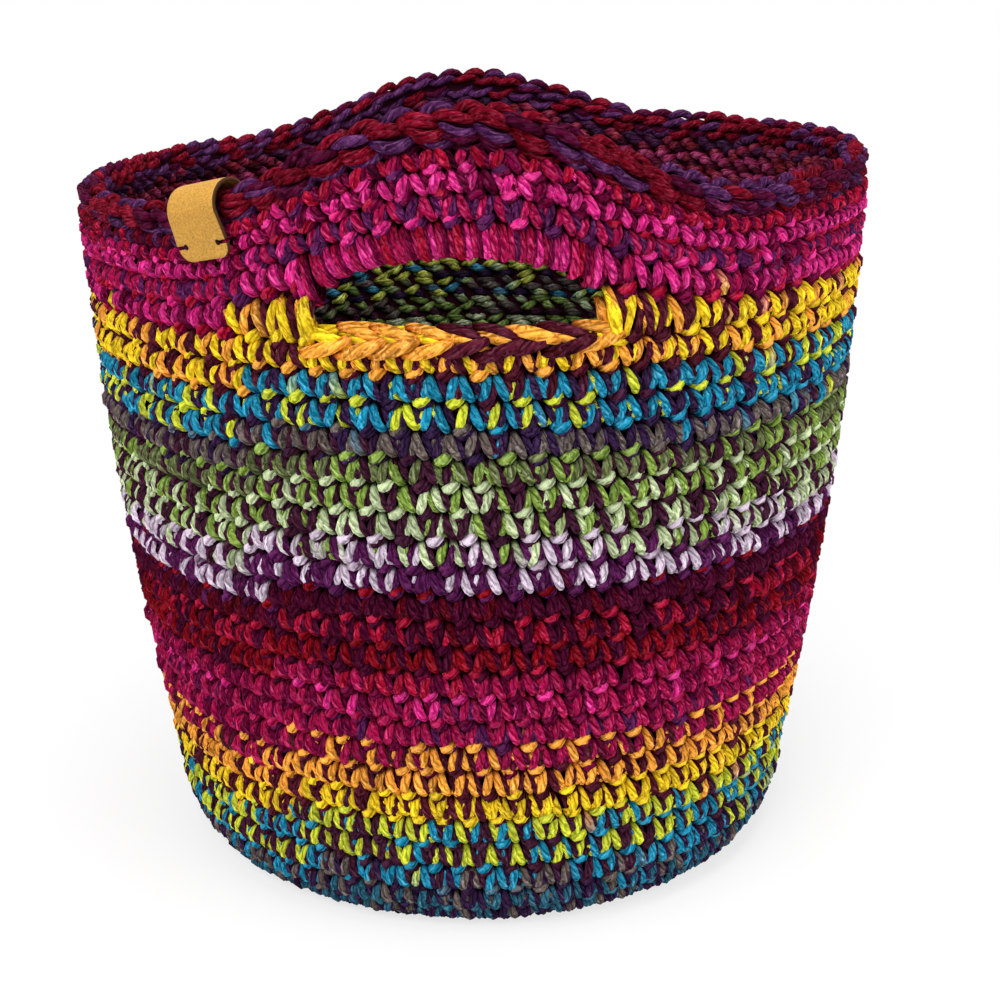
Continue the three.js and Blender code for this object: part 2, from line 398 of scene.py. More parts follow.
@dataclass
class YarnMix:
    """Chooses the colours that each stitch shows from its strands."""

    shape: BagShape
    runs: tuple[ColourRun, ...] = (GROUND_RUN, FIRST_RUN, SECOND_RUN, LOOP_RUN)
    bright: float = 0.94
    drift: float = 0.24
    speckle: float = 0.15
    stray_share: float = 0.045
    stray: float = 0.3
    fade: float = 0.03
    front_share: float = 0.09
    # Greys the colours toward their mean; used as painted shade on the inside of the bag.
    painted_shade_grey: float = 0.0
    mid_round: float = 0.5
    strand_phase: float = 3.1
    round_phase: float = 0.37
    dye_uneven: float = 0.14
    dye_limits: tuple[float, float] = (0.65, 1.35)

    def colours(self, rounds: float, angle: np.ndarray, rng: np.random.Generator) -> np.ndarray:
        """Colours the strands of some stitches of a round.

        Args:
            rounds: The round of the work.
            angle: Angles of the stitches round the bag.
            rng: Source of the small differences between stitches.

        Returns:
            Scene-linear colours by stitch, strand and end of the strand.
        """
        turn = np.mod(angle - self.shape.seam_angle, TAU) / TAU - self.front_share
        strands = []
        for number, run in enumerate(self.runs):
            slow = wander(angle, self.strand_phase * number + self.round_phase * rounds)
            place = rounds + self.mid_round + turn + self.drift * slow
            place = place + rng.normal(0.0, self.speckle, angle.shape)
            either = rng.choice([-1.0, 1.0], angle.shape)
            strayed = rng.uniform(size=angle.shape) < self.stray_share
            place = place + self.stray * either * strayed
            depth = np.clip(rng.normal(1.0, self.dye_uneven, angle.shape), *self.dye_limits)
            ends = np.stack([run.at(place + self.fade), run.at(place - self.fade)], axis=1)
            # Painted shade on the inside of the bag: colours greyed toward their mean.
            ends = ends + self.painted_shade_grey * (ends.mean(axis=-1, keepdims=True) - ends)
            strands.append(np.clip(ends * (self.bright * depth)[:, None, None], 0.0, 1.0))
        return np.stack(strands, axis=1)


def axes_along(path: np.ndarray, outward: np.ndarray) -> tuple[np.ndarray, np.ndarray, np.ndarray]:
    """Finds the directions across, out of and along strands.

    Args:
        path: Middle lines, by strand, section and axis.
        outward: Directions away from the cloth.

    Returns:
        Unit directions sideways, upward from the cloth and along the strand.
    """
    along = np.gradient(path, axis=1)
    along /= np.maximum(np.linalg.norm(along, axis=-1, keepdims=True), TINY)
    side = np.cross(along, outward)
    side /= np.maximum(np.linalg.norm(side, axis=-1, keepdims=True), TINY)
    return side, np.cross(side, along), along


@dataclass(frozen=True)
class Batch:
    """Strands with the same number of sections: paths, outward directions, half widths and colours of both ends."""

    path: np.ndarray
    outward: np.ndarray
    width: np.ndarray
    colour: np.ndarray


@dataclass
class StrandMesh:
    """Collects strands of yarn, each a tapered tube or half tube, and builds them as one mesh."""

    name: str
    sides: int = 4
    arc: float = math.radians(200)
    hidden: float = -0.5
    flatness: float = 0.75
    plump: float = 0.3
    cap: float = 0.8
    cap_reach: float = 0.1
    bake_margin: float = 0.06
    # Painted shade at both ends of each strand: its darkest share, how much it deepens the saturation, and how far
    # along the strand it reaches.
    root_shade: float = 0.48
    root_shade_saturation: float = 0.7
    root_reach: float = 0.3
    least_tint: float = 1e-4
    batches: list[Batch] = field(default_factory=list)

    def add(self, path: np.ndarray, outward: np.ndarray, width: np.ndarray, colour: np.ndarray) -> None:
        """Adds strands that have the same number of sections.

        Args:
            path: Middle line of each strand, by strand, section and axis.
            outward: Direction away from the cloth at each section.
            width: Half the strand's thickness at each section.
            colour: Scene-linear colours of each strand's two ends.
        """
        if len(path):
            self.batches.append(Batch(path, outward, np.broadcast_to(width, path.shape[:2]), colour))

    def bundle(
        self,
        path: np.ndarray,
        outward: np.ndarray,
        width: np.ndarray,
        spread: float,
        start: np.ndarray,
        twist: np.ndarray,
        colours: np.ndarray,
    ) -> None:
        """Adds bundles of strands that turn slowly about one another.

        Args:
            path: Middle line of each bundle, by bundle, section and axis.
            outward: Direction away from the cloth at each section.
            width: Half a strand's thickness at each section.
            spread: Distance of each strand from the middle line.
            start: Angle of the first strand about the middle line.
            twist: Angle that the strands turn through along the bundle.
            colours: Colours by bundle, strand and end.
        """
        if not len(path):
            return
        side, up, _ = axes_along(path, outward)
        share = np.linspace(0.0, 1.0, path.shape[1])
        count = colours.shape[1]
        for number in range(count):
            turn = start[:, None] + TAU * number / count + twist[:, None] * (share[None, :] - 0.5)
            shift = spread * (np.cos(turn)[..., None] * side + self.flatness * np.sin(turn)[..., None] * up)
            front = np.sin(start + TAU * number / count) if count > 1 else np.zeros(len(start))
            seen = front > self.hidden
            swell = 1.0 + self.plump * np.clip(front, 0.0, 1.0)
            self.add((path + shift)[seen], outward[seen], (width * swell[:, None])[seen], colours[seen, number])

    @property
    def points_round(self) -> int:
        """Returns the points of one section; a strand sunk in the cloth is left open at its back."""
        return self.sides if self.arc >= TAU else self.sides + 1

    def rings(self, batch: Batch) -> tuple[np.ndarray, np.ndarray]:
        """Makes the points of one batch and the length along each strand.

        Args:
            batch: The strands.

        Returns:
            Points by strand and place, and lengths by strand and section.
        """
        path, width = batch.path, batch.width
        side, up, along = axes_along(path, batch.outward)
        turn = math.pi / 2 + self.arc * (np.arange(self.points_round) / self.sides - 0.5)
        ring = (
            path[:, :, None, :]
            + (width[..., None] * np.cos(turn))[..., None] * side[:, :, None, :]
            + (width[..., None] * np.sin(turn))[..., None] * up[:, :, None, :]
        )
        first = path[:, :1] - along[:, :1] * width[:, :1, None] * self.cap
        last = path[:, -1:] + along[:, -1:] * width[:, -1:, None] * self.cap
        points = np.concatenate([first, ring.reshape(len(path), -1, 3), last], axis=1)
        points[..., 2] = np.maximum(points[..., 2], 0.0)
        steps = np.cumsum(np.linalg.norm(np.diff(path, axis=1), axis=-1), axis=1)
        return points, np.concatenate([np.zeros((len(path), 1)), steps], axis=1)

    def faces(self, sections: int) -> tuple[np.ndarray, np.ndarray, np.ndarray, np.ndarray]:
        """Lists one strand's faces.

        Args:
            sections: Number of sections along the strand.

        Returns:
            Corner points, corner counts, and each corner's place round and along the strand.
        """
        corners: list[int] = []
        counts: list[int] = []
        around: list[float] = []
        along: list[int] = []
        wide = self.points_round
        last = sections * wide + 1
        for j in range(self.sides):
            k = (j + 1) % wide
            here, there = self.arc / TAU * j / self.sides, self.arc / TAU * (j + 1) / self.sides
            corners += [0, 1 + j, 1 + k]
            around += [(here + there) / 2, here, there]
            along += [-1, 0, 0]
            counts.append(3)
            for section in range(sections - 1):
                low, high = 1 + section * wide, 1 + (section + 1) * wide
                corners += [low + j, high + j, high + k, low + k]
                around += [here, here, there, there]
                along += [section, section + 1, section + 1, section]
                counts.append(4)
            top = 1 + (sections - 1) * wide
            corners += [last, top + k, top + j]
            around += [(here + there) / 2, there, here]
            along += [sections, sections - 1, sections - 1]
            counts.append(3)
        return np.array(corners), np.array(counts), np.array(around), np.array(along)

    def shade(self, batch: Batch) -> np.ndarray:
        """Colours the points of one batch, from end to end, with painted shade at the roots: darker and more
        saturated toward both ends, where each strand dives into the cloth.

        Args:
            batch: The strands.

        Returns:
            Scene-linear colours, point by point.
        """
        steps = np.repeat(np.linspace(0.0, 1.0, batch.path.shape[1]), self.points_round)
        fade = np.concatenate([[0.0], steps, [1.0]])[None, :, None]
        tint = batch.colour[:, 0][:, None] * (1.0 - fade) + batch.colour[:, 1][:, None] * fade
        # Painted shade: the colour darkens and saturates toward each end of the strand.
        dip = np.clip(np.minimum(fade, 1.0 - fade) / self.root_reach, 0.0, 1.0)
        purity = tint / np.maximum(tint.max(axis=-1, keepdims=True), self.least_tint)
        deep = tint * purity**self.root_shade_saturation * self.root_shade
        return (deep + (tint - deep) * dip).reshape(-1, 3)

    def build(self, finish: bpy.types.Material, slot: str) -> bpy.types.Object:
        """Builds the mesh, with its colours and its two maps.

        Args:
            finish: Material of the yarn.
            slot: Material slot of the record that the yarn stands for; not used.

        Returns:
            The new object, riding on the bag.
        """
        total = sum(len(batch.path) for batch in self.batches)
        grid = math.ceil(math.sqrt(total))
        points, shades, corners, counts, lay, bake = [], [], [], [], [], []
        offset, strand_start = 0, 0
        for batch in self.batches:
            ring, length = self.rings(batch)
            strands, sections = batch.path.shape[:2]
            corner, count, around, along = self.faces(sections)
            per_strand = ring.shape[1]
            base = offset + per_strand * np.arange(strands)[:, None]
            corners.append((corner[None, :] + base).ravel())
            counts.append(np.tile(count, strands))
            girth = TAU * batch.width.mean(axis=1, keepdims=True)
            reach = length / girth
            reach = np.concatenate([reach[:, :1] - self.cap_reach, reach, reach[:, -1:] + self.cap_reach], axis=1)
            spread = reach[:, along + 1]
            lay.append(np.stack([np.broadcast_to(around, spread.shape), spread], axis=-1).reshape(-1, 2))
            share = (spread - reach[:, :1]) / (reach[:, -1:] - reach[:, :1])
            cell = strand_start + np.arange(strands)
            column, row = cell % grid, cell // grid
            inside = 1 - 2 * self.bake_margin
            u = (column[:, None] + self.bake_margin + inside * around[None, :]) / grid
            v = (row[:, None] + self.bake_margin + inside * share) / grid
            bake.append(np.stack([u, v], axis=-1).reshape(-1, 2))
            points.append(ring.reshape(-1, 3))
            shades.append(self.shade(batch))
            offset += strands * per_strand
            strand_start += strands
        return make_mesh_object(
            self.name,
            np.concatenate(points),
            np.concatenate(corners),
            np.concatenate(counts),
            {LAY_MAP: np.concatenate(lay), BAKE_MAP: np.concatenate(bake)},
            np.concatenate(shades),
            finish,
        )


def make_mesh_object(
    name: str,
    points: np.ndarray,
    corners: np.ndarray,
    counts: np.ndarray,
    maps: dict[str, np.ndarray],
    shades: np.ndarray | None,
    finish: bpy.types.Material,
) -> bpy.types.Object:
    """Builds a smooth-shaded mesh object from arrays and rides it on the bag.

    Args:
        name: Name of the piece.
        points: Points of the mesh.
        corners: Point numbers of every face, one after another.
        counts: Number of corners of each face.
        maps: Surface maps by name, with two values for each corner.
        shades: Scene-linear colour of each point, or None.
        finish: Material of the piece.

    Returns:
        The new object.
    """
    mesh = bpy.data.meshes.new(name)
    mesh.vertices.add(len(points))
    mesh.vertices.foreach_set("co", points.astype(np.float32).ravel())
    mesh.loops.add(len(corners))
    mesh.loops.foreach_set("vertex_index", corners.astype(np.int32))
    mesh.polygons.add(len(counts))
    starts = np.concatenate([[0], np.cumsum(counts)[:-1]])
    mesh.polygons.foreach_set("loop_start", starts.astype(np.int32))
    mesh.update(calc_edges=True)
    mesh.polygons.foreach_set("use_smooth", np.ones(len(counts), dtype=bool))
    for map_name, values in maps.items():
        layer = mesh.uv_layers.new(name=map_name)
        layer.data.foreach_set("uv", values.astype(np.float32).ravel())
    if shades is not None:
        layer = mesh.color_attributes.new(COLOUR_LAYER, "FLOAT_COLOR", "POINT")
        opaque = np.concatenate([shades, np.ones((len(shades), 1))], axis=1)
        layer.data.foreach_set("color", opaque.astype(np.float32).ravel())
    mesh.validate()
    mesh.materials.append(finish)
    piece = bpy.data.objects.new(name, mesh)
    bpy.context.scene.collection.objects.link(piece)
    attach(piece, BODY)
    return piece


class Signal:
    """A shader socket that Python's operators turn into Math nodes."""

    def __init__(self, graph: Graph, socket: bpy.types.NodeSocket) -> None:
        """Wraps a socket of a graph."""
        self.graph = graph
        self.socket = socket

    def _math(self, operation: str, *values: Any) -> Signal:
        """Adds a Math node.

        Args:
            operation: The node's operation.
            values: Numbers or signals for its sockets.

        Returns:
            The node's result.
        """
        node = self.graph.node("ShaderNodeMath", {"operation": operation}, dict(enumerate(values)))
        return Signal(self.graph, node.outputs[0])

    def __add__(self, other: Any) -> Signal:
        """Adds."""
        return self._math("ADD", self, other)

    __radd__ = __add__

    def __mul__(self, other: Any) -> Signal:
        """Multiplies."""
        return self._math("MULTIPLY", self, other)

    __rmul__ = __mul__

    def __sub__(self, other: Any) -> Signal:
        """Subtracts a value from this one."""
        return self._math("SUBTRACT", self, other)

    def __rsub__(self, other: Any) -> Signal:
        """Subtracts this from a value."""
        return self._math("SUBTRACT", other, self)

    def __pow__(self, other: Any) -> Signal:
        """Raises to a power."""
        return self._math("POWER", self, other)

    def sine(self) -> Signal:
        """Returns the sine."""
        return self._math("SINE", self)

    def clamped(self, low: float, high: float) -> Signal:
        """Returns the value kept between two limits."""
        return self._math("MINIMUM", self._math("MAXIMUM", self, low), high)


class Graph:
    """A material's or world's node tree, written as calls."""

    def __init__(self, tree: bpy.types.NodeTree) -> None:
        """Empties a node tree for a new graph."""
        self.tree = tree
        tree.nodes.clear()

    def node(
        self,
        kind: str,
        settings: dict[str, Any] | None = None,
        inputs: dict[Any, Any] | None = None,
    ) -> bpy.types.Node:
        """Adds a node.

        Args:
            kind: The node's type.
            settings: Properties set before its sockets.
            inputs: Values, signals or sockets by input name or number.

        Returns:
            The new node.
        """
        node = self.tree.nodes.new(kind)
        for key, value in (settings or {}).items():
            setattr(node, key, value)
        for key, value in (inputs or {}).items():
            socket = node.inputs[key]
            if isinstance(value, Signal):
                self.tree.links.new(value.socket, socket)
            elif isinstance(value, bpy.types.NodeSocket):
                self.tree.links.new(value, socket)
            else:
                socket.default_value = value
        return node

    def signal(
        self,
        kind: str,
        output: Any,
        settings: dict[str, Any] | None = None,
        inputs: dict[Any, Any] | None = None,
    ) -> Signal:
        """Adds a node and returns one of its outputs as a signal.

        Args:
            kind: The node's type.
            output: Name or number of the output.
            settings: Properties set before its sockets.
            inputs: Values, signals or sockets by input name or number.

        Returns:
            The output.
        """
        return Signal(self, self.node(kind, settings, inputs).outputs[output])

    def mix(self, kind: str, share: Any, low: Any, high: Any) -> bpy.types.NodeSocket:
        """Mixes two colours.

        Args:
            kind: Blend type.
            share: Amount of the second colour.
            low: First colour.
            high: Second colour.

        Returns:
            The mixed colour's socket.
        """
        settings = {"data_type": "RGBA", "blend_type": kind}
        node = self.node("ShaderNodeMix", settings, {MIX_SHARE: share, MIX_LOW: low, MIX_HIGH: high})
        return node.outputs[MIXED]

    def noise(self, scale: float, detail: float, place: Any = None) -> Signal:
        """Adds a noise texture.

        Args:
            scale: Size of the pattern, as spots to a unit.
            detail: Number of finer layers in it.
            place: Where the pattern is read, or None for the piece's own box.

        Returns:
            The noise, from 0 to 1.
        """
        inputs = {"Scale": scale, "Detail": detail}
        return self.signal("ShaderNodeTexNoise", 0, None, inputs if place is None else {"Vector": place, **inputs})

    def spot(self, *parts: Any) -> bpy.types.NodeSocket:
        """Returns a vector that is put together from three values."""
        return self.node("ShaderNodeCombineXYZ", None, dict(enumerate(parts))).outputs[0]

    def surface(self, **sockets: Any) -> None:
        """Ends a material's graph with its shader.

        Args:
            sockets: Values, signals or sockets by the shader's input, with _ for each space.
        """
        inputs = {name.replace("_", " "): value for name, value in sockets.items()}
        shader = self.node("ShaderNodeBsdfPrincipled", None, inputs)
        self.node("ShaderNodeOutputMaterial", None, {0: shader.outputs[0]})

    def bump(self, strength: float, distance: float, height: Signal) -> bpy.types.NodeSocket:
        """Returns the normal of a surface with a relief."""
        inputs = {"Strength": strength, "Distance": distance, "Height": height}
        return self.node("ShaderNodeBump", None, inputs).outputs[0]


def grey_level(level: float) -> tuple[float, float, float, float]:
    """Returns a colour with the same value in each channel."""
    return (level, level, level, 1.0)


def new_material(name: str) -> tuple[bpy.types.Material, Graph]:
    """Makes an empty node material.

    Args:
        name: Name of the material.

    Returns:
        The material and its graph.
    """
    material = bpy.data.materials.new(name)
    material.use_nodes = True
    return material, Graph(material.node_tree)


@dataclass(frozen=True)
class YarnFinish:
    """Soft plied yarn: twisted plies, fibres and pale flecks over the strand's own colour, with painted shade in
    the ply grooves, a painted shade copy and a painted highlight copy of the colour along the fibre streaks, and
    flecks that are partly pale fibres and partly painted highlight.
    """

    name: str = "plied_yarn"
    plies: int = 5
    fibres: int = 11
    flecks: int = 13
    lean: float = 0.38
    patch_scale: float = 260.0
    patch_sway: float = 0.18
    patch_depth: float = 6.0
    fibre_stretch: float = 2.2
    fleck_stretch: float = 2.0
    fleck_offset: float = 7.5
    fleck_from: float = 0.47
    fleck_gain: float = 7.0
    # Contrast of the streaks, then the painted shade copy (dark share and gamma) and the painted highlight copies
    # (light share, pale flecks) of the colour.
    ply_shade: float = 0.4
    fibre_shade: float = 3.0
    dark_share: float = 0.42
    dark_gamma: float = 1.12
    light_share: float = 1.36
    pale: float = 2.4
    pale_gamma: float = 0.35
    pale_power: float = 0.75
    bright_power: float = 3.0
    roughness: float = 0.85
    specular: float = 0.02
    bump: float = 0.7
    relief: float = 0.3 * MM
    ply_relief: float = 0.4
    fleck_relief: float = 0.6

    def material(self) -> bpy.types.Material:
        """Builds the yarn's material.

        Returns:
            The material, which reads each strand's own colour.
        """
        material, graph = new_material(self.name)
        lay = graph.node("ShaderNodeUVMap", {"uv_map": LAY_MAP})
        parts = graph.node("ShaderNodeSeparateXYZ", None, {0: lay.outputs[0]})
        around, along = Signal(graph, parts.outputs[0]), Signal(graph, parts.outputs[1])
        spot = graph.node("ShaderNodeNewGeometry").outputs["Position"]
        patch = graph.noise(self.patch_scale, detail=1.0, place=spot)
        twisted = around - along * self.lean + patch * self.patch_sway
        # Ply lines: the grooves between plies take painted shade, and also give the relief below.
        ply = (twisted * (self.plies * TAU)).sine() * 0.5 + 0.5
        layer = patch * self.patch_depth
        fibre_spot = graph.spot(twisted * self.fibres, along * self.fibre_stretch, layer)
        fleck_spot = graph.spot(twisted * self.flecks, along * self.fleck_stretch, layer + self.fleck_offset)
        fibre = graph.noise(scale=1.0, detail=2.0, place=fibre_spot)
        fleck = graph.noise(scale=1.0, detail=1.0, place=fleck_spot)
        # Streaks: random fibre tone plus the ply lines, which pick between the painted shade and painted highlight
        # copies.
        streak = ((fibre - 0.5) * self.fibre_shade + (ply - 0.5) * self.ply_shade + 0.5).clamped(0.0, 1.0)
        colour = graph.node("ShaderNodeAttribute", {"attribute_name": COLOUR_LAYER}).outputs["Color"]
        # Painted shade copy, darker and more saturated, and painted highlight copy, brighter, of the strand's
        # colour.
        deep = graph.node("ShaderNodeGamma", None, {"Color": colour, "Gamma": self.dark_gamma}).outputs[0]
        dark = graph.mix("MULTIPLY", 1.0, deep, grey_level(self.dark_share))
        light = graph.mix("MULTIPLY", 1.0, colour, grey_level(self.light_share))
        tinted = graph.mix("MIX", streak, dark, light)
        grey = graph.signal("ShaderNodeRGBToBW", 0, None, {0: colour})
        # Pale flecks on the light streaks: partly pale fibres of the yarn, partly painted highlight.
        shown = ((fleck - self.fleck_from) * self.fleck_gain).clamped(0.0, 1.0) * streak
        share = grey**self.pale_power * (1.0 - grey) ** self.bright_power * shown * self.pale
        haze = graph.node("ShaderNodeGamma", None, {"Color": colour, "Gamma": self.pale_gamma}).outputs[0]
        heather_and_painted_light = graph.mix("ADD", share.clamped(0.0, 1.0), tinted, haze)
        height = ply * self.ply_relief + fibre + fleck * self.fleck_relief
        graph.surface(
            Base_Color=heather_and_painted_light,
            Roughness=self.roughness,
            Specular_IOR_Level=self.specular,
            Normal=graph.bump(self.bump, self.relief, height),
        )
        return material


@dataclass(frozen=True)
class CoreFinish:
    """Dark yarn seen deep between the stitches, painted much darker than its dye as painted shade in the gaps."""

    name: str = "inner_yarn_painted_shade"
    yarn: Yarn = Yarn.AUBERGINE
    # Painted shade: the core shows the dye at only a fraction of its brightness.
    dark_share: float = 0.15
    light_share: float = 0.55
    roughness: float = 1.0
    specular: float = 0.1
    grain: float = 420.0
    bump: float = 0.5
    relief: float = 0.6 * MM

    def material(self) -> bpy.types.Material:
        """Builds the material of the cloth's core.

        Returns:
            The material.
        """
        material, graph = new_material(self.name)
        noise = graph.noise(self.grain, detail=3.0)
        base = self.yarn.linear()
        graph.surface(
            Base_Color=graph.mix("MIX", noise, (*(base * self.dark_share), 1.0), (*(base * self.light_share), 1.0)),
            Roughness=self.roughness,
            Specular_IOR_Level=self.specular,
            Normal=graph.bump(self.bump, self.relief, noise),
        )
        return material


Section = tuple[float, ...]


def resample(path: Sequence[Section], sections: int) -> np.ndarray:
    """Draws a smooth curve through a few points.

    Args:
        path: Points that the curve goes through.
        sections: Number of points wanted along it.

    Returns:
        Points along the curve.
    """
    marks = np.array(path)
    fit = np.polyfit(np.linspace(0.0, 1.0, len(marks)), marks, len(marks) - 1)
    steps = np.linspace(0.0, 1.0, sections)
    return np.stack([np.polyval(column, steps) for column in fit.T], axis=-1)


@dataclass
class CrochetPiece:
    """Part of the crochet, which lays strands on the bag's shape with a hand's unevenness."""

    name: str
    shape: BagShape
    mix: YarnMix
    seed: int
    sides: int = 4
    arc: float = math.radians(200)
    across_slack: float = 0.035
    level_slack: float = 0.035
    depth_slack: float = 0.35 * MM
    level_wave: float = 0.07
    level_phase: float = 0.83
    facing_wave: float = 2.2
    facing_phase: float = 1.9
    facing_slack: float = 0.5
    twist: float = 0.5
    twist_slack: float = 0.3
    taper_places: tuple[float, ...] = (0.0, 0.25, 0.5, 0.75, 1.0)
    taper_widths: tuple[float, ...] = (0.72, 1.06, 1.12, 0.96, 0.52)

    def __post_init__(self) -> None:
        """Starts an empty mesh and the hand's unevenness."""
        self.rng = np.random.default_rng(self.seed)
        self.mesh = StrandMesh(self.name, self.sides, self.arc)

    def uneven(self, count: int, amount: float) -> np.ndarray:
        """Returns small differences between stitches, as one column."""
        return self.rng.normal(0.0, amount, (count, 1))

    def lay(
        self,
        ring: float,
        angles: np.ndarray,
        path: Sequence[Section],
        width: float,
        strand: Strand,
        sections: int,
        inward: bool = False,
    ) -> None:
        """Lays a strand along the same path in each stitch.

        Args:
            ring: Number of the round.
            angles: Middles of the stitches.
            path: Middle line, as share across the stitch, share of the round and depth.
            width: Half the strand's thickness.
            strand: The strand that shows.
            sections: Number of sections along the strand.
            inward: True for a strand seen from inside the bag.
        """
        count = len(angles)
        if count == 0:
            return
        shares = resample(path, sections)
        across = shares[None, :, 0] + self.uneven(count, self.across_slack)
        place = angles[:, None] + self.shape.stitch_angle * across
        level = ring + shares[None, :, 1] + self.uneven(count, self.level_slack)
        level = level + self.level_wave * wander(place, ring * self.level_phase)
        depth = shares[None, :, 2] + self.uneven(count, self.depth_slack)
        points, outward = self.shape.place(level, place, depth)
        outward = -outward if inward else outward
        self.lay_points(
            points, outward, angles, ring, width, spread=0.0, facing=0.0, strands=(strand,), shuffle=0.0,
        )

    def lay_points(
        self,
        points: np.ndarray,
        outward: np.ndarray,
        angles: np.ndarray,
        colour_ring: float,
        width: float,
        spread: float,
        facing: float,
        strands: Sequence[Strand],
        shuffle: float,
    ) -> None:
        """Lays bundles along lines of points.

        Args:
            points: Middle lines, by bundle, section and axis.
            outward: Directions away from the cloth.
            angles: Angles of the bundles round the bag.
            colour_ring: Round that gives the colours.
            width: Half a strand's thickness.
            spread: Distance of each strand from the middle line.
            facing: Angle at which the first strand starts.
            strands: The strands that show.
            shuffle: How far neighbouring bundles differ in which strand faces out.
        """
        count, sections = points.shape[:2]
        taper = np.interp(np.linspace(0.0, 1.0, sections), self.taper_places, self.taper_widths)
        colours = self.mix.colours(colour_ring, angles, self.rng)[:, [strand.value for strand in strands]]
        slow = self.facing_wave * wander(angles, self.facing_phase * facing + colour_ring)
        start = facing + shuffle * (slow + self.rng.normal(0.0, 1.0, count))
        twist = self.rng.normal(self.twist, self.twist_slack, count)
        self.mesh.bundle(points, outward, width * taper[None, :], spread, start, twist, colours)

    def build(self, finish: bpy.types.Material) -> bpy.types.Object:
        """Builds the piece.

        Args:
            finish: Material of the yarn.

        Returns:
            The piece's object.
        """
        self.work()
        piece = self.mesh.build(finish, "yarn")
        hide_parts("crochet_body")
        return piece

    def work(self) -> None:
        """Lays every strand of the piece."""
        raise NotImplementedError


@dataclass(frozen=True)
class Leg:
    """The strands of a leg, by which of them is thick, which thin and which lies beside the two."""

    thick: Strand
    thin: Strand
    beside: Strand


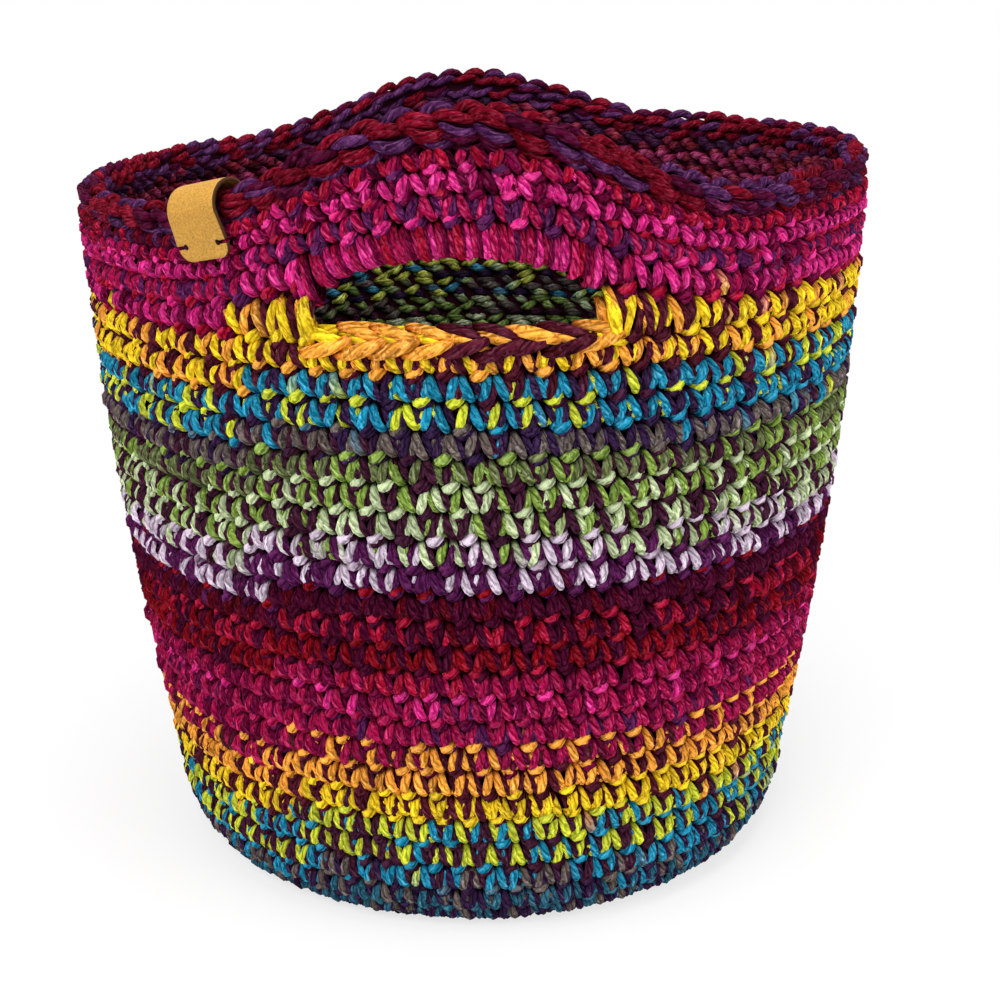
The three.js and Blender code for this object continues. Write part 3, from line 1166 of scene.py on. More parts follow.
@dataclass
class CrochetRounds(CrochetPiece):
    """A band of rounds of the wall.

    Each stitch has two legs, of a thick strand, often a thin one and a third beside them, and loops at its foot.
    Over a hand slot, strands are wrapped round the arch instead.
    """

    first: int = 0
    last: int = 0
    slant: float = -0.26
    strand: float = 1.42 * MM
    thin: float = 0.72 * MM
    thin_shift: float = -0.19
    thin_share: float = 0.5
    swap_level: float = 0.7
    dark_level: float = -0.65
    pull_phase: float = 2.3
    pull_slack: float = 0.6
    ground: float = 1.05 * MM
    ground_shift: float = 0.25
    ground_sink: float = 0.1 * MM
    dyed_loops: float = 0.72
    dyed_loop_width: float = 1.3
    ground_loop_width: float = 1.15
    lower_loop_width: float = 1.2
    slot_level: float = 0.35
    wrap_bundle: float = 1.2 * MM
    wrap_width: float = 0.84
    wrap_ground_width: float = 0.8
    wrap_ground_lift: float = 0.5 * MM
    wrap_lean: float = 0.22
    wrap_slant: float = 0.15
    wrap_across_slack: float = 0.02
    wrap_depth_slack: float = 0.3 * MM
    wrap_facing: float = 0.3
    wrap_shuffle: float = 0.12
    wrap_sections: int = 11
    lead: Leg = Leg(Strand.FIRST, Strand.SECOND, Strand.GROUND)
    swapped: Leg = Leg(Strand.SECOND, Strand.FIRST, Strand.GROUND)
    dark: Leg = Leg(Strand.GROUND, Strand.SECOND, Strand.FIRST)
    wrap_pairs: tuple[tuple[Strand, Strand], ...] = (
        (Strand.FIRST, Strand.SECOND), (Strand.SECOND, Strand.FIRST), (Strand.SECOND, Strand.LOOP),
        (Strand.FIRST, Strand.FIRST), (Strand.SECOND, Strand.SECOND),
    )
    left_leg: tuple[Section, ...] = (
        (-0.45, 0.95, -5.0 * MM), (-0.40, 0.79, -1.9 * MM), (-0.29, 0.52, -0.5 * MM),
        (-0.18, 0.25, -1.6 * MM), (-0.08, 0.07, -4.6 * MM),
    )
    right_leg: tuple[Section, ...] = (
        (0.30, 0.95, -5.0 * MM), (0.28, 0.79, -2.0 * MM), (0.21, 0.52, -0.7 * MM),
        (0.14, 0.25, -1.8 * MM), (0.07, 0.07, -4.6 * MM),
    )
    upper_loop: tuple[Section, ...] = (
        (0.10, -0.06, -4.4 * MM), (0.25, 0.06, -2.2 * MM), (0.41, 0.19, -2.0 * MM), (0.55, 0.30, -4.2 * MM),
    )
    lower_loop: tuple[Section, ...] = (
        (0.15, -0.17, -4.6 * MM), (0.30, -0.09, -2.6 * MM), (0.47, 0.04, -2.4 * MM), (0.62, 0.17, -4.4 * MM),
    )
    wrap: tuple[Section, ...] = (
        (0.0, 1.00, -5.0 * MM), (0.0, 0.80, -1.9 * MM), (0.0, 0.48, -1.2 * MM),
        (0.0, 0.16, -1.7 * MM), (0.0, -0.04, -4.4 * MM), (0.0, 0.08, -7.6 * MM),
        (0.0, 0.40, -9.0 * MM), (0.0, 0.75, -7.4 * MM),
    )

    def ring_angles(self, ring: int) -> np.ndarray:
        """Finds the middle of each stitch of a round.

        Args:
            ring: Number of the round.

        Returns:
            Angles round the bag.
        """
        step = np.arange(self.shape.stitches) + self.slant * ring
        return self.shape.stitch_angle * step

    def lay_leg(self, ring: int, angles: np.ndarray, path: Sequence[Section], facing: float) -> None:
        """Lays one leg of each stitch.

        Args:
            ring: Number of the round.
            angles: Middles of the stitches.
            path: Middle line of the leg.
            facing: Picks the stitches in which another strand comes to the front.
        """
        pull = wander(angles, self.pull_phase * facing + ring) + self.rng.normal(0.0, self.pull_slack, len(angles))
        swapped, dark = pull > self.swap_level, pull < self.dark_level
        paired = self.rng.uniform(size=len(angles)) < self.thin_share
        slim = tuple((across + self.thin_shift, rise, depth) for across, rise, depth in path)
        beside = tuple((across + self.ground_shift, rise, depth - self.ground_sink) for across, rise, depth in path)
        for group, leg in ((~swapped & ~dark, self.lead), (swapped, self.swapped), (dark, self.dark)):
            self.lay(ring, angles[group], path, self.strand, leg.thick, sections=6)
            self.lay(ring, angles[group & paired], slim, self.thin, leg.thin, sections=4)
            self.lay(ring, angles[group], beside, self.ground, leg.beside, sections=5)

    def lay_wrap(self, angles: np.ndarray, facing: float) -> None:
        """Wraps strands over the arch of a hand slot, round its edge and up the inside.

        Args:
            angles: Middles of the bundles.
            facing: Angle at which the first strand starts.
        """
        ring = self.shape.slot_round + 1
        shares = resample(self.wrap, self.wrap_sections)
        count = len(angles)
        levels = np.array([float(ring), ring + 1.0])
        edge, _ = self.shape.place(levels[None, :], angles[:, None], np.zeros((count, 2)))
        low, high = edge[:, 0], edge[:, 1]
        foot = (self.shape.arch(low[:, 0]) - low[:, 2]) / (high[:, 2] - low[:, 2])
        level = ring + foot[:, None] + (1.0 - foot[:, None]) * shares[None, :, 1]
        sideways = (low[:, :1] - self.shape.handle_shift) / (self.shape.slot_width / 2)
        lean = self.wrap_lean * sideways * np.sign(-low[:, 1:2]) - self.wrap_slant
        place = angles[:, None] + self.shape.stitch_angle * lean * shares[None, :, 1]
        depth = shares[None, :, 2] + self.uneven(count, self.wrap_depth_slack)
        place = place + self.shape.stitch_angle * self.uneven(count, self.wrap_across_slack)
        order = self.rng.integers(0, len(self.wrap_pairs), count)
        for number, strands in enumerate((*self.wrap_pairs, (Strand.GROUND,))):
            if len(strands) > 1:
                group, shift, lift = order == number, 0.0, 0.0
                width, spread, shuffle = self.wrap_width * self.strand, self.wrap_bundle, self.wrap_shuffle
            else:
                group, shift, lift = np.full(count, True), self.ground_shift, self.wrap_ground_lift
                width, spread, shuffle = self.wrap_ground_width * self.ground, 0.0, 0.0
            turn = place[group] + self.shape.stitch_angle * shift
            points, _ = self.shape.place(level[group], turn, depth[group] + lift)
            around = np.stack([-np.sin(turn), np.cos(turn), np.zeros_like(turn)], axis=-1)
            outward = np.cross(np.gradient(points, axis=1), around)
            outward /= np.linalg.norm(outward, axis=-1, keepdims=True)
            colour_ring = ring + self.slot_level
            self.lay_points(points, outward, angles[group], colour_ring, width, spread, facing, strands, shuffle)

    def work(self) -> None:
        """Lays the legs and loops of every round of the band, and the wraps over the hand slots."""
        over_rounds = (self.shape.slot_round, self.shape.slot_round + 1)
        for ring in range(self.first, self.last):
            angles = self.ring_angles(ring)
            left, right, early, late = self.rng.normal(0.0, self.facing_slack, 4)
            levels = np.full(len(angles), ring + self.slot_level)
            middle, _ = self.shape.place(levels, angles, np.zeros(len(angles)))
            beside = np.abs(middle[:, 0] - self.shape.handle_shift) < self.shape.slot_width / 2
            over_slot = beside & (ring in over_rounds)
            plain = angles[~over_slot]
            self.lay_leg(ring, plain, self.left_leg, left)
            self.lay_leg(ring, plain, self.right_leg, right)
            dyed = self.rng.uniform(size=len(plain)) < self.dyed_loops
            for loops, path, width, strand, sections in (
                (plain[dyed], self.upper_loop, self.dyed_loop_width, Strand.LOOP, 5),
                (plain[~dyed], self.upper_loop, self.ground_loop_width, Strand.GROUND, 5),
                (plain, self.lower_loop, self.lower_loop_width, Strand.GROUND, 4),
            ):
                self.lay(ring, loops, path, width * self.strand, strand, sections)
            if ring == over_rounds[1]:
                quarter = self.shape.stitch_angle / 4
                self.lay_wrap(angles[over_slot] - quarter, self.wrap_facing * early)
                self.lay_wrap(angles[over_slot] + quarter, self.wrap_facing * late)


@dataclass(frozen=True)
class RimRow:
    """One row of loops along the rim.

    The path gives shares along a stitch and degrees round the roll, the shift is how late the row starts, and the
    shares say how often a loop shows the ground, the first or the second strand.
    """

    path: tuple[tuple[float, float], ...]
    shift: float
    shares: tuple[float, float, float]


@dataclass
class RimBraid(CrochetPiece):
    """The slip-stitched rim: a braid of long loops along the top, with cords below it on both sides."""

    strand: float = 1.3 * MM
    spread: float = 0.8 * MM
    along_slack: float = 0.06
    around_slack: float = 0.07
    reach_slack: float = 0.05
    bow_ends: float = 0.3
    bow_power: float = 0.8
    shuffle: float = 0.4
    sections: int = 8
    lower_cord: RimRow = RimRow(
        ((-0.14, -46), (0.18, -58), (0.5, -66), (0.84, -68), (1.14, -62)), shift=0.5, shares=(0.7, 0.2, 0.1),
    )
    outer_cord: RimRow = RimRow(
        ((-0.14, 4), (0.18, -14), (0.5, -26), (0.84, -30), (1.14, -26)), shift=0.2, shares=(0.35, 0.45, 0.2),
    )
    front_leg: RimRow = RimRow(
        ((-0.14, 58), (0.18, 38), (0.5, 24), (0.84, 18), (1.14, 22)), shift=0.0, shares=(0.2, 0.45, 0.35),
    )
    top_leg: RimRow = RimRow(
        ((-0.14, 52), (0.18, 84), (0.5, 102), (0.84, 110), (1.14, 104)), shift=0.4, shares=(0.1, 0.52, 0.38),
    )
    inner_leg: RimRow = RimRow(
        ((-0.14, 130), (0.18, 146), (0.5, 158), (0.84, 162), (1.14, 156)), shift=0.7, shares=(0.2, 0.55, 0.25),
    )
    inner_cord: RimRow = RimRow(
        ((-0.14, 184), (0.18, 198), (0.5, 208), (0.84, 210), (1.14, 204)), shift=0.2, shares=(0.45, 0.45, 0.1),
    )

    def lay_row(self, row: RimRow) -> None:
        """Lays one row of loops along the rim, each loop in a colour of its own.

        Args:
            row: The row.
        """
        count = self.shape.stitches
        angles = self.shape.stitch_angle * (np.arange(count) + row.shift)
        path = resample(row.path, self.sections)
        along = path[None, :, 0] + self.uneven(count, self.along_slack)
        place = angles[:, None] + self.shape.stitch_angle * along
        around = np.radians(path[None, :, 1]) + self.uneven(count, self.around_slack)
        arch = np.sin(math.pi * np.linspace(0.0, 1.0, len(path))) ** self.bow_power
        bow = self.bow_ends + (1.0 - self.bow_ends) * arch
        points, outward = self.shape.roll(place, around, bow[None, :] + self.uneven(count, self.reach_slack))
        shown = self.rng.choice(3, count, p=np.array(row.shares) / sum(row.shares))
        for strand, other in (
            (Strand.GROUND, Strand.SECOND), (Strand.FIRST, Strand.FIRST), (Strand.SECOND, Strand.GROUND),
        ):
            pick = shown == strand.value
            facing = self.rng.normal(0.0, self.facing_slack)
            self.lay_points(
                points[pick], outward[pick], angles[pick], float(self.shape.rim_start),
                self.strand, self.spread, facing, (strand, other), self.shuffle,
            )

    def work(self) -> None:
        """Lays the rows of the rim."""
        for row in (
            self.lower_cord, self.outer_cord, self.front_leg, self.top_leg, self.inner_leg, self.inner_cord,
        ):
            self.lay_row(row)


@dataclass
class SlotEdges(CrochetPiece):
    """The chain along the floor of each hand slot and the loops at its ends."""

    strand: float = 1.6 * MM
    spread: float = 1.3 * MM
    shuffle: float = 0.5
    sections: int = 7
    angle_section: int = 2
    slack: float = 0.3 * MM
    link: float = 10.4 * MM
    chain_drop: float = 1.5 * MM
    chain_tip: float = 0.35
    start_gap: float = 2 * MM
    stop_gap: float = 4 * MM
    post_gap: float = 3 * MM
    post_steps: tuple[float, float] = (0.0, 3.2 * MM)
    colour_drop: float = 0.4
    dark_middle: float = 14 * MM
    dark_reach: float = 20 * MM
    upper: tuple[Section, ...] = (
        (-0.25, 3.6 * MM, -4.6 * MM), (0.15, 3.4 * MM, -2.6 * MM), (0.55, 2.2 * MM, -1.6 * MM),
        (0.95, 0.6 * MM, -1.4 * MM), (1.25, -0.4 * MM, -3.6 * MM),
    )
    lower: tuple[Section, ...] = (
        (-0.25, -3.6 * MM, -2.8 * MM), (0.15, -2.9 * MM, -0.9 * MM), (0.55, -1.6 * MM, -0.2 * MM),
        (0.95, -0.2 * MM, -0.6 * MM), (1.25, 0.9 * MM, -3.4 * MM),
    )
    inside: tuple[Section, ...] = (
        (-0.25, 2.6 * MM, -7.0 * MM), (0.15, 2.4 * MM, -7.6 * MM), (0.5, 2.2 * MM, -7.8 * MM),
        (0.85, 2.3 * MM, -7.6 * MM), (1.2, 2.4 * MM, -7.0 * MM),
    )
    post: tuple[Section, ...] = (
        (0.0, -1.0 * MM, -4.6 * MM), (0.02, 2.0 * MM, -1.8 * MM), (0.0, 5.5 * MM, -1.2 * MM),
        (-0.04, 9.0 * MM, -1.8 * MM), (-0.10, 11.5 * MM, -4.6 * MM),
    )

    def lay_edge(self, side: float, x: np.ndarray, path: Sequence[Section]) -> None:
        """Lays loops along the edge of one slot.

        Args:
            side: -1 for the front slot, 1 for the back slot.
            x: Sideways places of the loops.
            path: Middle line, as share of a link, height over the slot's floor and depth.
        """
        shares = resample(path, self.sections)
        sideways = x[:, None] + self.link * shares[None, :, 0] + self.uneven(len(x), self.slack)
        radius = float(self.shape.wall_radius(np.asarray(self.shape.slot_floor)))
        place = side * np.arccos(sideways / radius)
        reach = radius + (shares[None, :, 2] + self.uneven(len(x), self.slack))
        level = self.shape.slot_floor - self.chain_drop + shares[None, :, 1] + self.uneven(len(x), self.slack)
        points = np.stack([reach * np.cos(place), reach * np.sin(place), level], axis=-1)
        outward = np.stack([np.cos(place), np.sin(place), np.full(place.shape, self.chain_tip)], axis=-1)
        dark = np.abs(x - self.shape.handle_shift - self.dark_middle) < self.dark_reach
        ring = self.shape.slot_round - self.colour_drop
        for group, leading in ((dark, Strand.GROUND), (~dark, Strand.FIRST)):
            self.lay_points(
                points[group], outward[group], place[group, self.angle_section], ring, self.strand, self.spread,
                self.rng.uniform(0.0, TAU), (leading, Strand.SECOND), self.shuffle,
            )

    def work(self) -> None:
        """Lays the chain and the end loops of both slots."""
        left = self.shape.handle_shift - self.shape.slot_width / 2
        right = self.shape.handle_shift + self.shape.slot_width / 2
        start, stop = left - self.start_gap, right - self.stop_gap
        links = np.linspace(start, stop, round((stop - start) / self.link) + 1)
        ends = np.array([left - self.post_gap, right + self.post_gap])
        for side in (-1.0, 1.0):
            for path in (self.inside, self.upper, self.lower):
                self.lay_edge(side, links, path)
            for step in self.post_steps:
                deep = tuple((across, rise, depth - step) for across, rise, depth in self.post)
                self.lay_edge(side, ends, deep)


@dataclass
class Lining(CrochetPiece):
    """The inside of the wall, where the stitches show as rows of short bars, finer in the upper rounds."""

    strand: float = 1.8 * MM
    slant: float = -0.26
    first_gap: int = 2
    fine_from: int = 13
    coarse_rows: int = 2
    rise: float = 1.0 * MM
    slot_margin: float = 1.5 * MM
    bar: tuple[Section, ...] = ((-0.38, -0.12, 1.4 * MM), (0.0, 0.05, -0.4 * MM), (0.38, 0.12, 1.4 * MM))
    bar_widths_and_leans: tuple[tuple[float, float], ...] = ((1.05, 0.7), (0.8, 1.7), (0.9, -1.3), (1.15, 0.2))
    rows: tuple[tuple[float, Strand, Strand], ...] = (
        (0.2, Strand.SECOND, Strand.GROUND), (0.86, Strand.SECOND, Strand.LOOP), (0.53, Strand.FIRST, Strand.LOOP),
    )

    def work(self) -> None:
        """Lays the bars of every round, two or three rows to a round."""
        deep = self.rise - self.shape.wall_thickness
        for ring in range(self.shape.wall_start - self.first_gap, self.shape.rim_start):
            for row, strand, other in self.rows if ring >= self.fine_from else self.rows[: self.coarse_rows]:
                angles = self.shape.stitch_angle * (np.arange(self.shape.stitches) + self.slant * ring + row)
                levels, depths = np.full(len(angles), ring + row), np.full(len(angles), deep)
                middle, _ = self.shape.place(levels, angles, depths)
                angles = angles[~self.shape.in_slot(middle, self.slot_margin)]
                kinds = (strand, other, Strand.SECOND, other)
                group = self.rng.integers(0, len(kinds), len(angles))
                for number, (wide, lean) in enumerate(self.bar_widths_and_leans):
                    path = tuple((across * wide, rise * lean + row, deep + sink) for across, rise, sink in self.bar)
                    chosen = angles[group == number]
                    self.lay(ring, chosen, path, self.strand, kinds[number], sections=3, inward=True)


@dataclass
class BaseRounds(CrochetPiece):
    """The flat base, worked in rounds from its middle, with legs below and rows of bars on the inside."""

    strand: float = 1.7 * MM
    stitch: float = 10 * MM
    least_stitches: int = 6
    mid_round: float = 0.5
    slant: float = 0.37
    legs: tuple[tuple[float, Strand], ...] = ((-0.3, Strand.FIRST), (0.3, Strand.SECOND))
    leg: tuple[Section, ...] = ((1.0, 0.95, -3.4 * MM), (0.7, 0.5, -2.6 * MM), (0.0, 0.05, -3.6 * MM))
    inside_rows: tuple[tuple[float, Strand], ...] = (
        (0.15, Strand.SECOND), (0.5, Strand.FIRST), (0.83, Strand.LOOP),
    )
    bar: tuple[Section, ...] = ((-0.5, -0.12, 1.8 * MM), (0.0, 0.04, 0.0), (0.5, 0.12, 1.8 * MM))

    def work(self) -> None:
        """Lays the stitches of every round of the base."""
        deep = -self.shape.wall_thickness
        for ring in range(self.shape.centre, self.shape.wall_start - self.shape.corner_rounds + 1):
            radius, _ = self.shape.profile(np.array([ring + self.mid_round]))
            count = max(self.least_stitches, round(TAU * float(radius[0]) / self.stitch))
            angles = TAU * (np.arange(count) + self.slant * ring) / count
            wide = self.shape.stitches / count
            for lean, strand in self.legs:
                path = tuple((across * lean * wide, rise, depth) for across, rise, depth in self.leg)
                self.lay(ring, angles, path, self.strand, strand, sections=3)
            for row, strand in self.inside_rows:
                path = tuple((across * wide, row + rise, deep + sink) for across, rise, sink in self.bar)
                self.lay(ring, angles + row * TAU / count, path, self.strand, strand, sections=3, inward=True)


@dataclass
class CrochetCore:
    """The body of the cloth behind the stitches, which closes the gaps between them."""

    shape: BagShape
    columns: int = 96
    rows_per_round: int = 2
    roll_sides: int = 10
    roll_reach: float = 0.7
    depth: float = -5.4 * MM
    thickness: float = 2.0 * MM
    slot_margin: float = 2.2 * MM
    hub_gap: float = 0.15
    rim_reach: float = 0.3

    def trim(self, points: np.ndarray, closed: np.ndarray) -> None:
        """Moves the corners round each hand slot onto its outline, so that its edge runs smoothly.

        Args:
            points: Corners of the sheet by row and column, which are changed in place.
            closed: True for each face of the sheet that is kept.
        """
        beside = np.zeros((2, *points.shape[:2]), dtype=bool)
        for kept, mask in enumerate((~closed, closed)):
            for up in (0, 1):
                for right in (0, 1):
                    beside[kept, up : up + len(mask)] |= np.roll(mask, right, axis=1)
        edge = beside.all(axis=0)
        x, y, z = points[edge].T
        reach = self.shape.slot_width / 2 + self.slot_margin
        shift = x - self.shape.handle_shift
        side_x = self.shape.handle_shift + np.sign(shift) * reach
        low, high = self.shape.slot_floor - self.slot_margin, self.shape.arch(x) + self.slot_margin
        gaps = np.abs([np.abs(shift) - reach, z - low, z - high])
        nearest = gaps.argmin(axis=0)
        moved = np.where(nearest == 0, side_x, x)
        y = np.sign(y) * np.sqrt(np.maximum(x**2 + y**2 - moved**2, 0.0))
        z = np.select([nearest == 1, nearest == 2], [low, high], z)
        points[edge] = np.stack([moved, y, z], axis=-1)

    def build(self, finish: bpy.types.Material) -> bpy.types.Object:
        """Builds the core as one sheet with the hand slots left out, thickened to both sides.

        Args:
            finish: Material of the core.

        Returns:
            The core's object.
        """
        first, last = self.shape.centre + self.hub_gap, self.shape.rim_start + self.rim_reach
        rows = int((last - first) * self.rows_per_round)
        levels = np.linspace(first, last, rows)
        angles = TAU * np.arange(self.columns) / self.columns
        level, angle = np.meshgrid(levels, angles, indexing="ij")
        points, _ = self.shape.place(level, angle, np.full(level.shape, self.depth))
        row, column = np.meshgrid(np.arange(rows - 1), np.arange(self.columns), indexing="ij")
        follow = (column + 1) % self.columns
        middle = (points[row, column] + points[row + 1, follow]) / 2
        closed = ~self.shape.in_slot(middle, self.slot_margin)
        self.trim(points, closed)
        row, column, follow = row[closed], column[closed], follow[closed]
        corners = np.stack([
            row * self.columns + column, row * self.columns + follow,
            (row + 1) * self.columns + follow, (row + 1) * self.columns + column,
        ], axis=-1)
        hub, _ = self.shape.place(np.array([first]), np.array([0.0]), np.array([self.depth]))
        hub[:, :2] = 0.0
        ring = np.arange(self.columns)
        fan = np.stack([np.full(self.columns, rows * self.columns), (ring + 1) % self.columns, ring], axis=-1)
        piece = make_mesh_object(
            "crochet_core",
            np.concatenate([points.reshape(-1, 3), hub]),
            np.concatenate([corners.ravel(), fan.ravel()]),
            np.concatenate([np.full(len(corners), 4), np.full(len(fan), 3)]),
            {},
            None,
            finish,
        )
        solid = piece.modifiers.new("thickness", "SOLIDIFY")
        solid.thickness = self.thickness
        solid.offset = 0.0
        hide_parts("crochet_body")
        return piece

    def build_rim(self, finish: bpy.types.Material) -> bpy.types.Object:
        """Builds the cord inside the rim.

        Args:
            finish: Material of the core.

        Returns:
            The cord's object.
        """
        angles = TAU * np.arange(self.columns) / self.columns
        turns = TAU * np.arange(self.roll_sides) / self.roll_sides
        angle, around = np.meshgrid(angles, turns, indexing="ij")
        points, _ = self.shape.roll(angle, around, self.roll_reach)
        row, column = np.meshgrid(np.arange(self.columns), np.arange(self.roll_sides), indexing="ij")
        ahead, beside = (row + 1) % self.columns, (column + 1) % self.roll_sides
        corners = np.stack([
            row * self.roll_sides + column, ahead * self.roll_sides + column,
            ahead * self.roll_sides + beside, row * self.roll_sides + beside,
        ], axis=-1)
        piece = make_mesh_object(
            "rim_core",
            points.reshape(-1, 3),
            corners.ravel(),
            np.full(corners.shape[0] * corners.shape[1], 4),
            {},
            None,
            finish,
        )
        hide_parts("crochet_body")
        return piece


@dataclass(frozen=True)
class LeatherFinish:
    """Tan leather with a fine pebbled face and dark cut edges."""

    face: tuple[float, float, float] = (188, 137, 47)
    edge: tuple[float, float, float] = (70, 40, 18)
    dark_share: float = 0.72
    light_share: float = 1.22
    grain: float = 38.0
    grain_shade: float = 2.6
    cloud: float = 3.0
    cloud_shade: float = 0.5
    middle: float = 0.45
    bump: float = 0.8
    relief: float = 0.35 * MM
    roughness: float = 0.6
    specular: float = 0.35
    edge_roughness: float = 0.8
    edge_specular: float = 0.2

    def material(self) -> bpy.types.Material:
        """Builds the face of the leather.

        Returns:
            The material of the face.
        """
        material, graph = new_material("tan_leather")
        base = to_linear(self.face)
        dark, light = base * self.dark_share, np.minimum(base * self.light_share, 1.0)
        grain, cloud = graph.noise(self.grain, detail=3.0), graph.noise(self.cloud, detail=2.0)
        share = (grain - 0.5) * self.grain_shade + (cloud - 0.5) * self.cloud_shade + self.middle
        graph.surface(
            Base_Color=graph.mix("MIX", share.clamped(0.0, 1.0), (*dark, 1.0), (*light, 1.0)),
            Roughness=self.roughness,
            Specular_IOR_Level=self.specular,
            Normal=graph.bump(self.bump, self.relief, grain),
        )
        return material

    def edge_material(self) -> bpy.types.Material:
        """Builds the burnt edge of the leather.

        Returns:
            The material of the edge.
        """
        material, graph = new_material("cut_leather")
        graph.surface(
            Base_Color=(*to_linear(self.edge), 1.0),
            Roughness=self.edge_roughness,
            Specular_IOR_Level=self.edge_specular,
        )
        return material


@dataclass
class LeatherTag:
    """A strip of leather folded over the rim, a little askew, with a slit in from each side near its ends."""

    shape: BagShape
    angle: float = math.radians(-125.5)
    lean: float = math.radians(-4)
    width: float = 20 * MM
    thickness: float = 1.3 * MM
    leg: float = 18.5 * MM
    tuck: float = 2.2 * MM
    corner: float = 4 * MM
    clearance: float = 0.35 * MM
    loop: float = 2.8 * MM
    rim_bulge: float = 2.2 * MM
    slit_from_end: float = 4.6 * MM
    slit_length: float = 4.2 * MM
    slit_width: float = 1.1 * MM
    slit_hole: float = 1.8 * MM
    skew: float = math.tan(math.radians(6))
    spacing: float = 1.0 * MM
    merge: float = 1e-7
    hole_points: int = 12
    corner_points: int = 8

    @property
    def rim_centre(self) -> float:
        """Returns the radius of the middle of the rim."""
        middle = np.asarray(self.shape.side_height - self.shape.rim_height / 2)
        return float(self.shape.wall_radius(middle)) - self.shape.wall_thickness / 2

    @property
    def sagitta(self) -> float:
        """Returns how far the rim curves away behind the tag's width."""
        return self.rim_centre - math.sqrt(self.rim_centre**2 - (self.width / 2) ** 2)

    @property
    def fold(self) -> float:
        """Returns the radius of the fold, to the middle of the leather."""
        inner = (self.shape.wall_thickness + self.sagitta) / 2 + self.rim_bulge + self.clearance
        return inner + self.thickness / 2

    @property
    def straight(self) -> float:
        """Returns the length of each leg below the fold."""
        return self.leg + self.loop + self.thickness / 2 - self.fold

    @property
    def length(self) -> float:
        """Returns the length of the strip laid flat."""
        return 2 * self.straight + math.pi * self.fold

    def outline(self) -> list[Vector]:
        """Draws the flat strip's outline, with round corners and round-ended slits.

        Returns:
            Corners of the outline, in order.
        """
        half, end = self.width / 2, self.length / 2
        quarter: list[tuple[float, float]] = []
        slit, mouth, hole = end - self.slit_from_end, self.slit_width / 2, self.slit_hole / 2
        reach = half - self.slit_length + hole
        open_turn = math.asin(mouth / hole)
        quarter += [(half, slit - mouth)]
        quarter += [
            (reach + hole * math.cos(turn), slit + hole * math.sin(turn))
            for turn in np.linspace(-open_turn, open_turn - TAU, self.hole_points)
        ]
        quarter += [(half, slit + mouth)]
        quarter += [
            (half - self.corner + self.corner * math.cos(turn), end - self.corner + self.corner * math.sin(turn))
            for turn in np.linspace(0.0, math.pi / 2, self.corner_points)
        ]
        upper = quarter + [(-x, y) for x, y in reversed(quarter)]
        lower = [(-x, -y) for x, y in upper]
        return [Vector(point) for point in upper + lower]

    def bend(self, across: float, along: float) -> Vector:
        """Folds a point of the flat strip over the rim.

        Args:
            across: Place across the strip.
            along: Place along the strip, from the middle of the fold toward the outer end.

        Returns:
            The point in the tag's own frame: along the rim, inward and up.
        """
        half_fold = math.pi * self.fold / 2
        spring = self.loop + self.thickness / 2 - self.fold
        turn = max(-half_fold, min(half_fold, along)) / self.fold
        drop = max(0.0, abs(along) - half_fold)
        front = drop if along > 0.0 else 0.0
        inset = self.tuck * front / self.straight - self.fold * math.sin(turn)
        return Vector((across + self.skew * front, inset, spring + self.fold * math.cos(turn) - drop))

    @property
    def seat(self) -> float:
        """Returns the radius at which the tag sits over the rim."""
        return self.rim_centre - self.sagitta / 2

    def rim_at(self, angle: float) -> float:
        """Returns the rim's height at an angle round the bag."""
        x = np.asarray(self.seat * math.cos(angle))
        return float(self.shape.worked_height(np.asarray(self.shape.side_height), x, np.asarray(angle)))

    def stance(self) -> Matrix:
        """Finds where the tag stands.

        Returns:
            The turn and move that take the tag's own frame to its place on the rim.
        """
        reach = self.width / 2 / self.seat
        slope = math.atan2(self.rim_at(self.angle + reach) - self.rim_at(self.angle - reach), self.width)
        turn = Matrix.Rotation(self.angle + math.pi / 2, 4, "Z") @ Matrix.Rotation(-slope - self.lean, 4, "Y")
        x, y = self.seat * math.cos(self.angle), self.seat * math.sin(self.angle)
        return Matrix.Translation(Vector((x, y, self.rim_at(self.angle)))) @ turn

    def build(self, face: bpy.types.Material, edge: bpy.types.Material) -> bpy.types.Object:
        """Builds the tag.

        Args:
            face: Material of the leather's face.
            edge: Material of its cut edges.

        Returns:
            The tag's object.
        """
        outline = self.outline()
        inner = [
            Vector((x, y))
            for y in np.arange(-self.length / 2 + self.spacing, self.length / 2, self.spacing)
            for x in np.arange(-self.width / 2 + self.spacing, self.width / 2, self.spacing)
        ]
        loop = list(range(len(outline)))
        points, _, faces, *_ = delaunay_2d_cdt(outline + inner, [], [loop], 1, self.merge)
        mesh = bpy.data.meshes.new("folded_tag")
        mesh.from_pydata([self.bend(point.x, point.y) for point in points], [], faces)
        layer = mesh.uv_layers.new(name=BAKE_MAP)
        for corner in mesh.loops:
            point = points[corner.vertex_index]
            layer.data[corner.index].uv = (0.5 + point.x / self.length, 0.5 + point.y / self.length)
        mesh.polygons.foreach_set("use_smooth", np.ones(len(mesh.polygons), dtype=bool))
        mesh.materials.append(face)
        mesh.materials.append(edge)
        tag = bpy.data.objects.new("folded_tag", mesh)
        bpy.context.scene.collection.objects.link(tag)
        solid = tag.modifiers.new("thickness", "SOLIDIFY")
        solid.thickness = self.thickness
        solid.offset = 0.0
        solid.material_offset_rim = 1
        mesh.transform(self.stance())
        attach(tag, BODY)
        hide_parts("leather_tag")
        self.length
        return tag


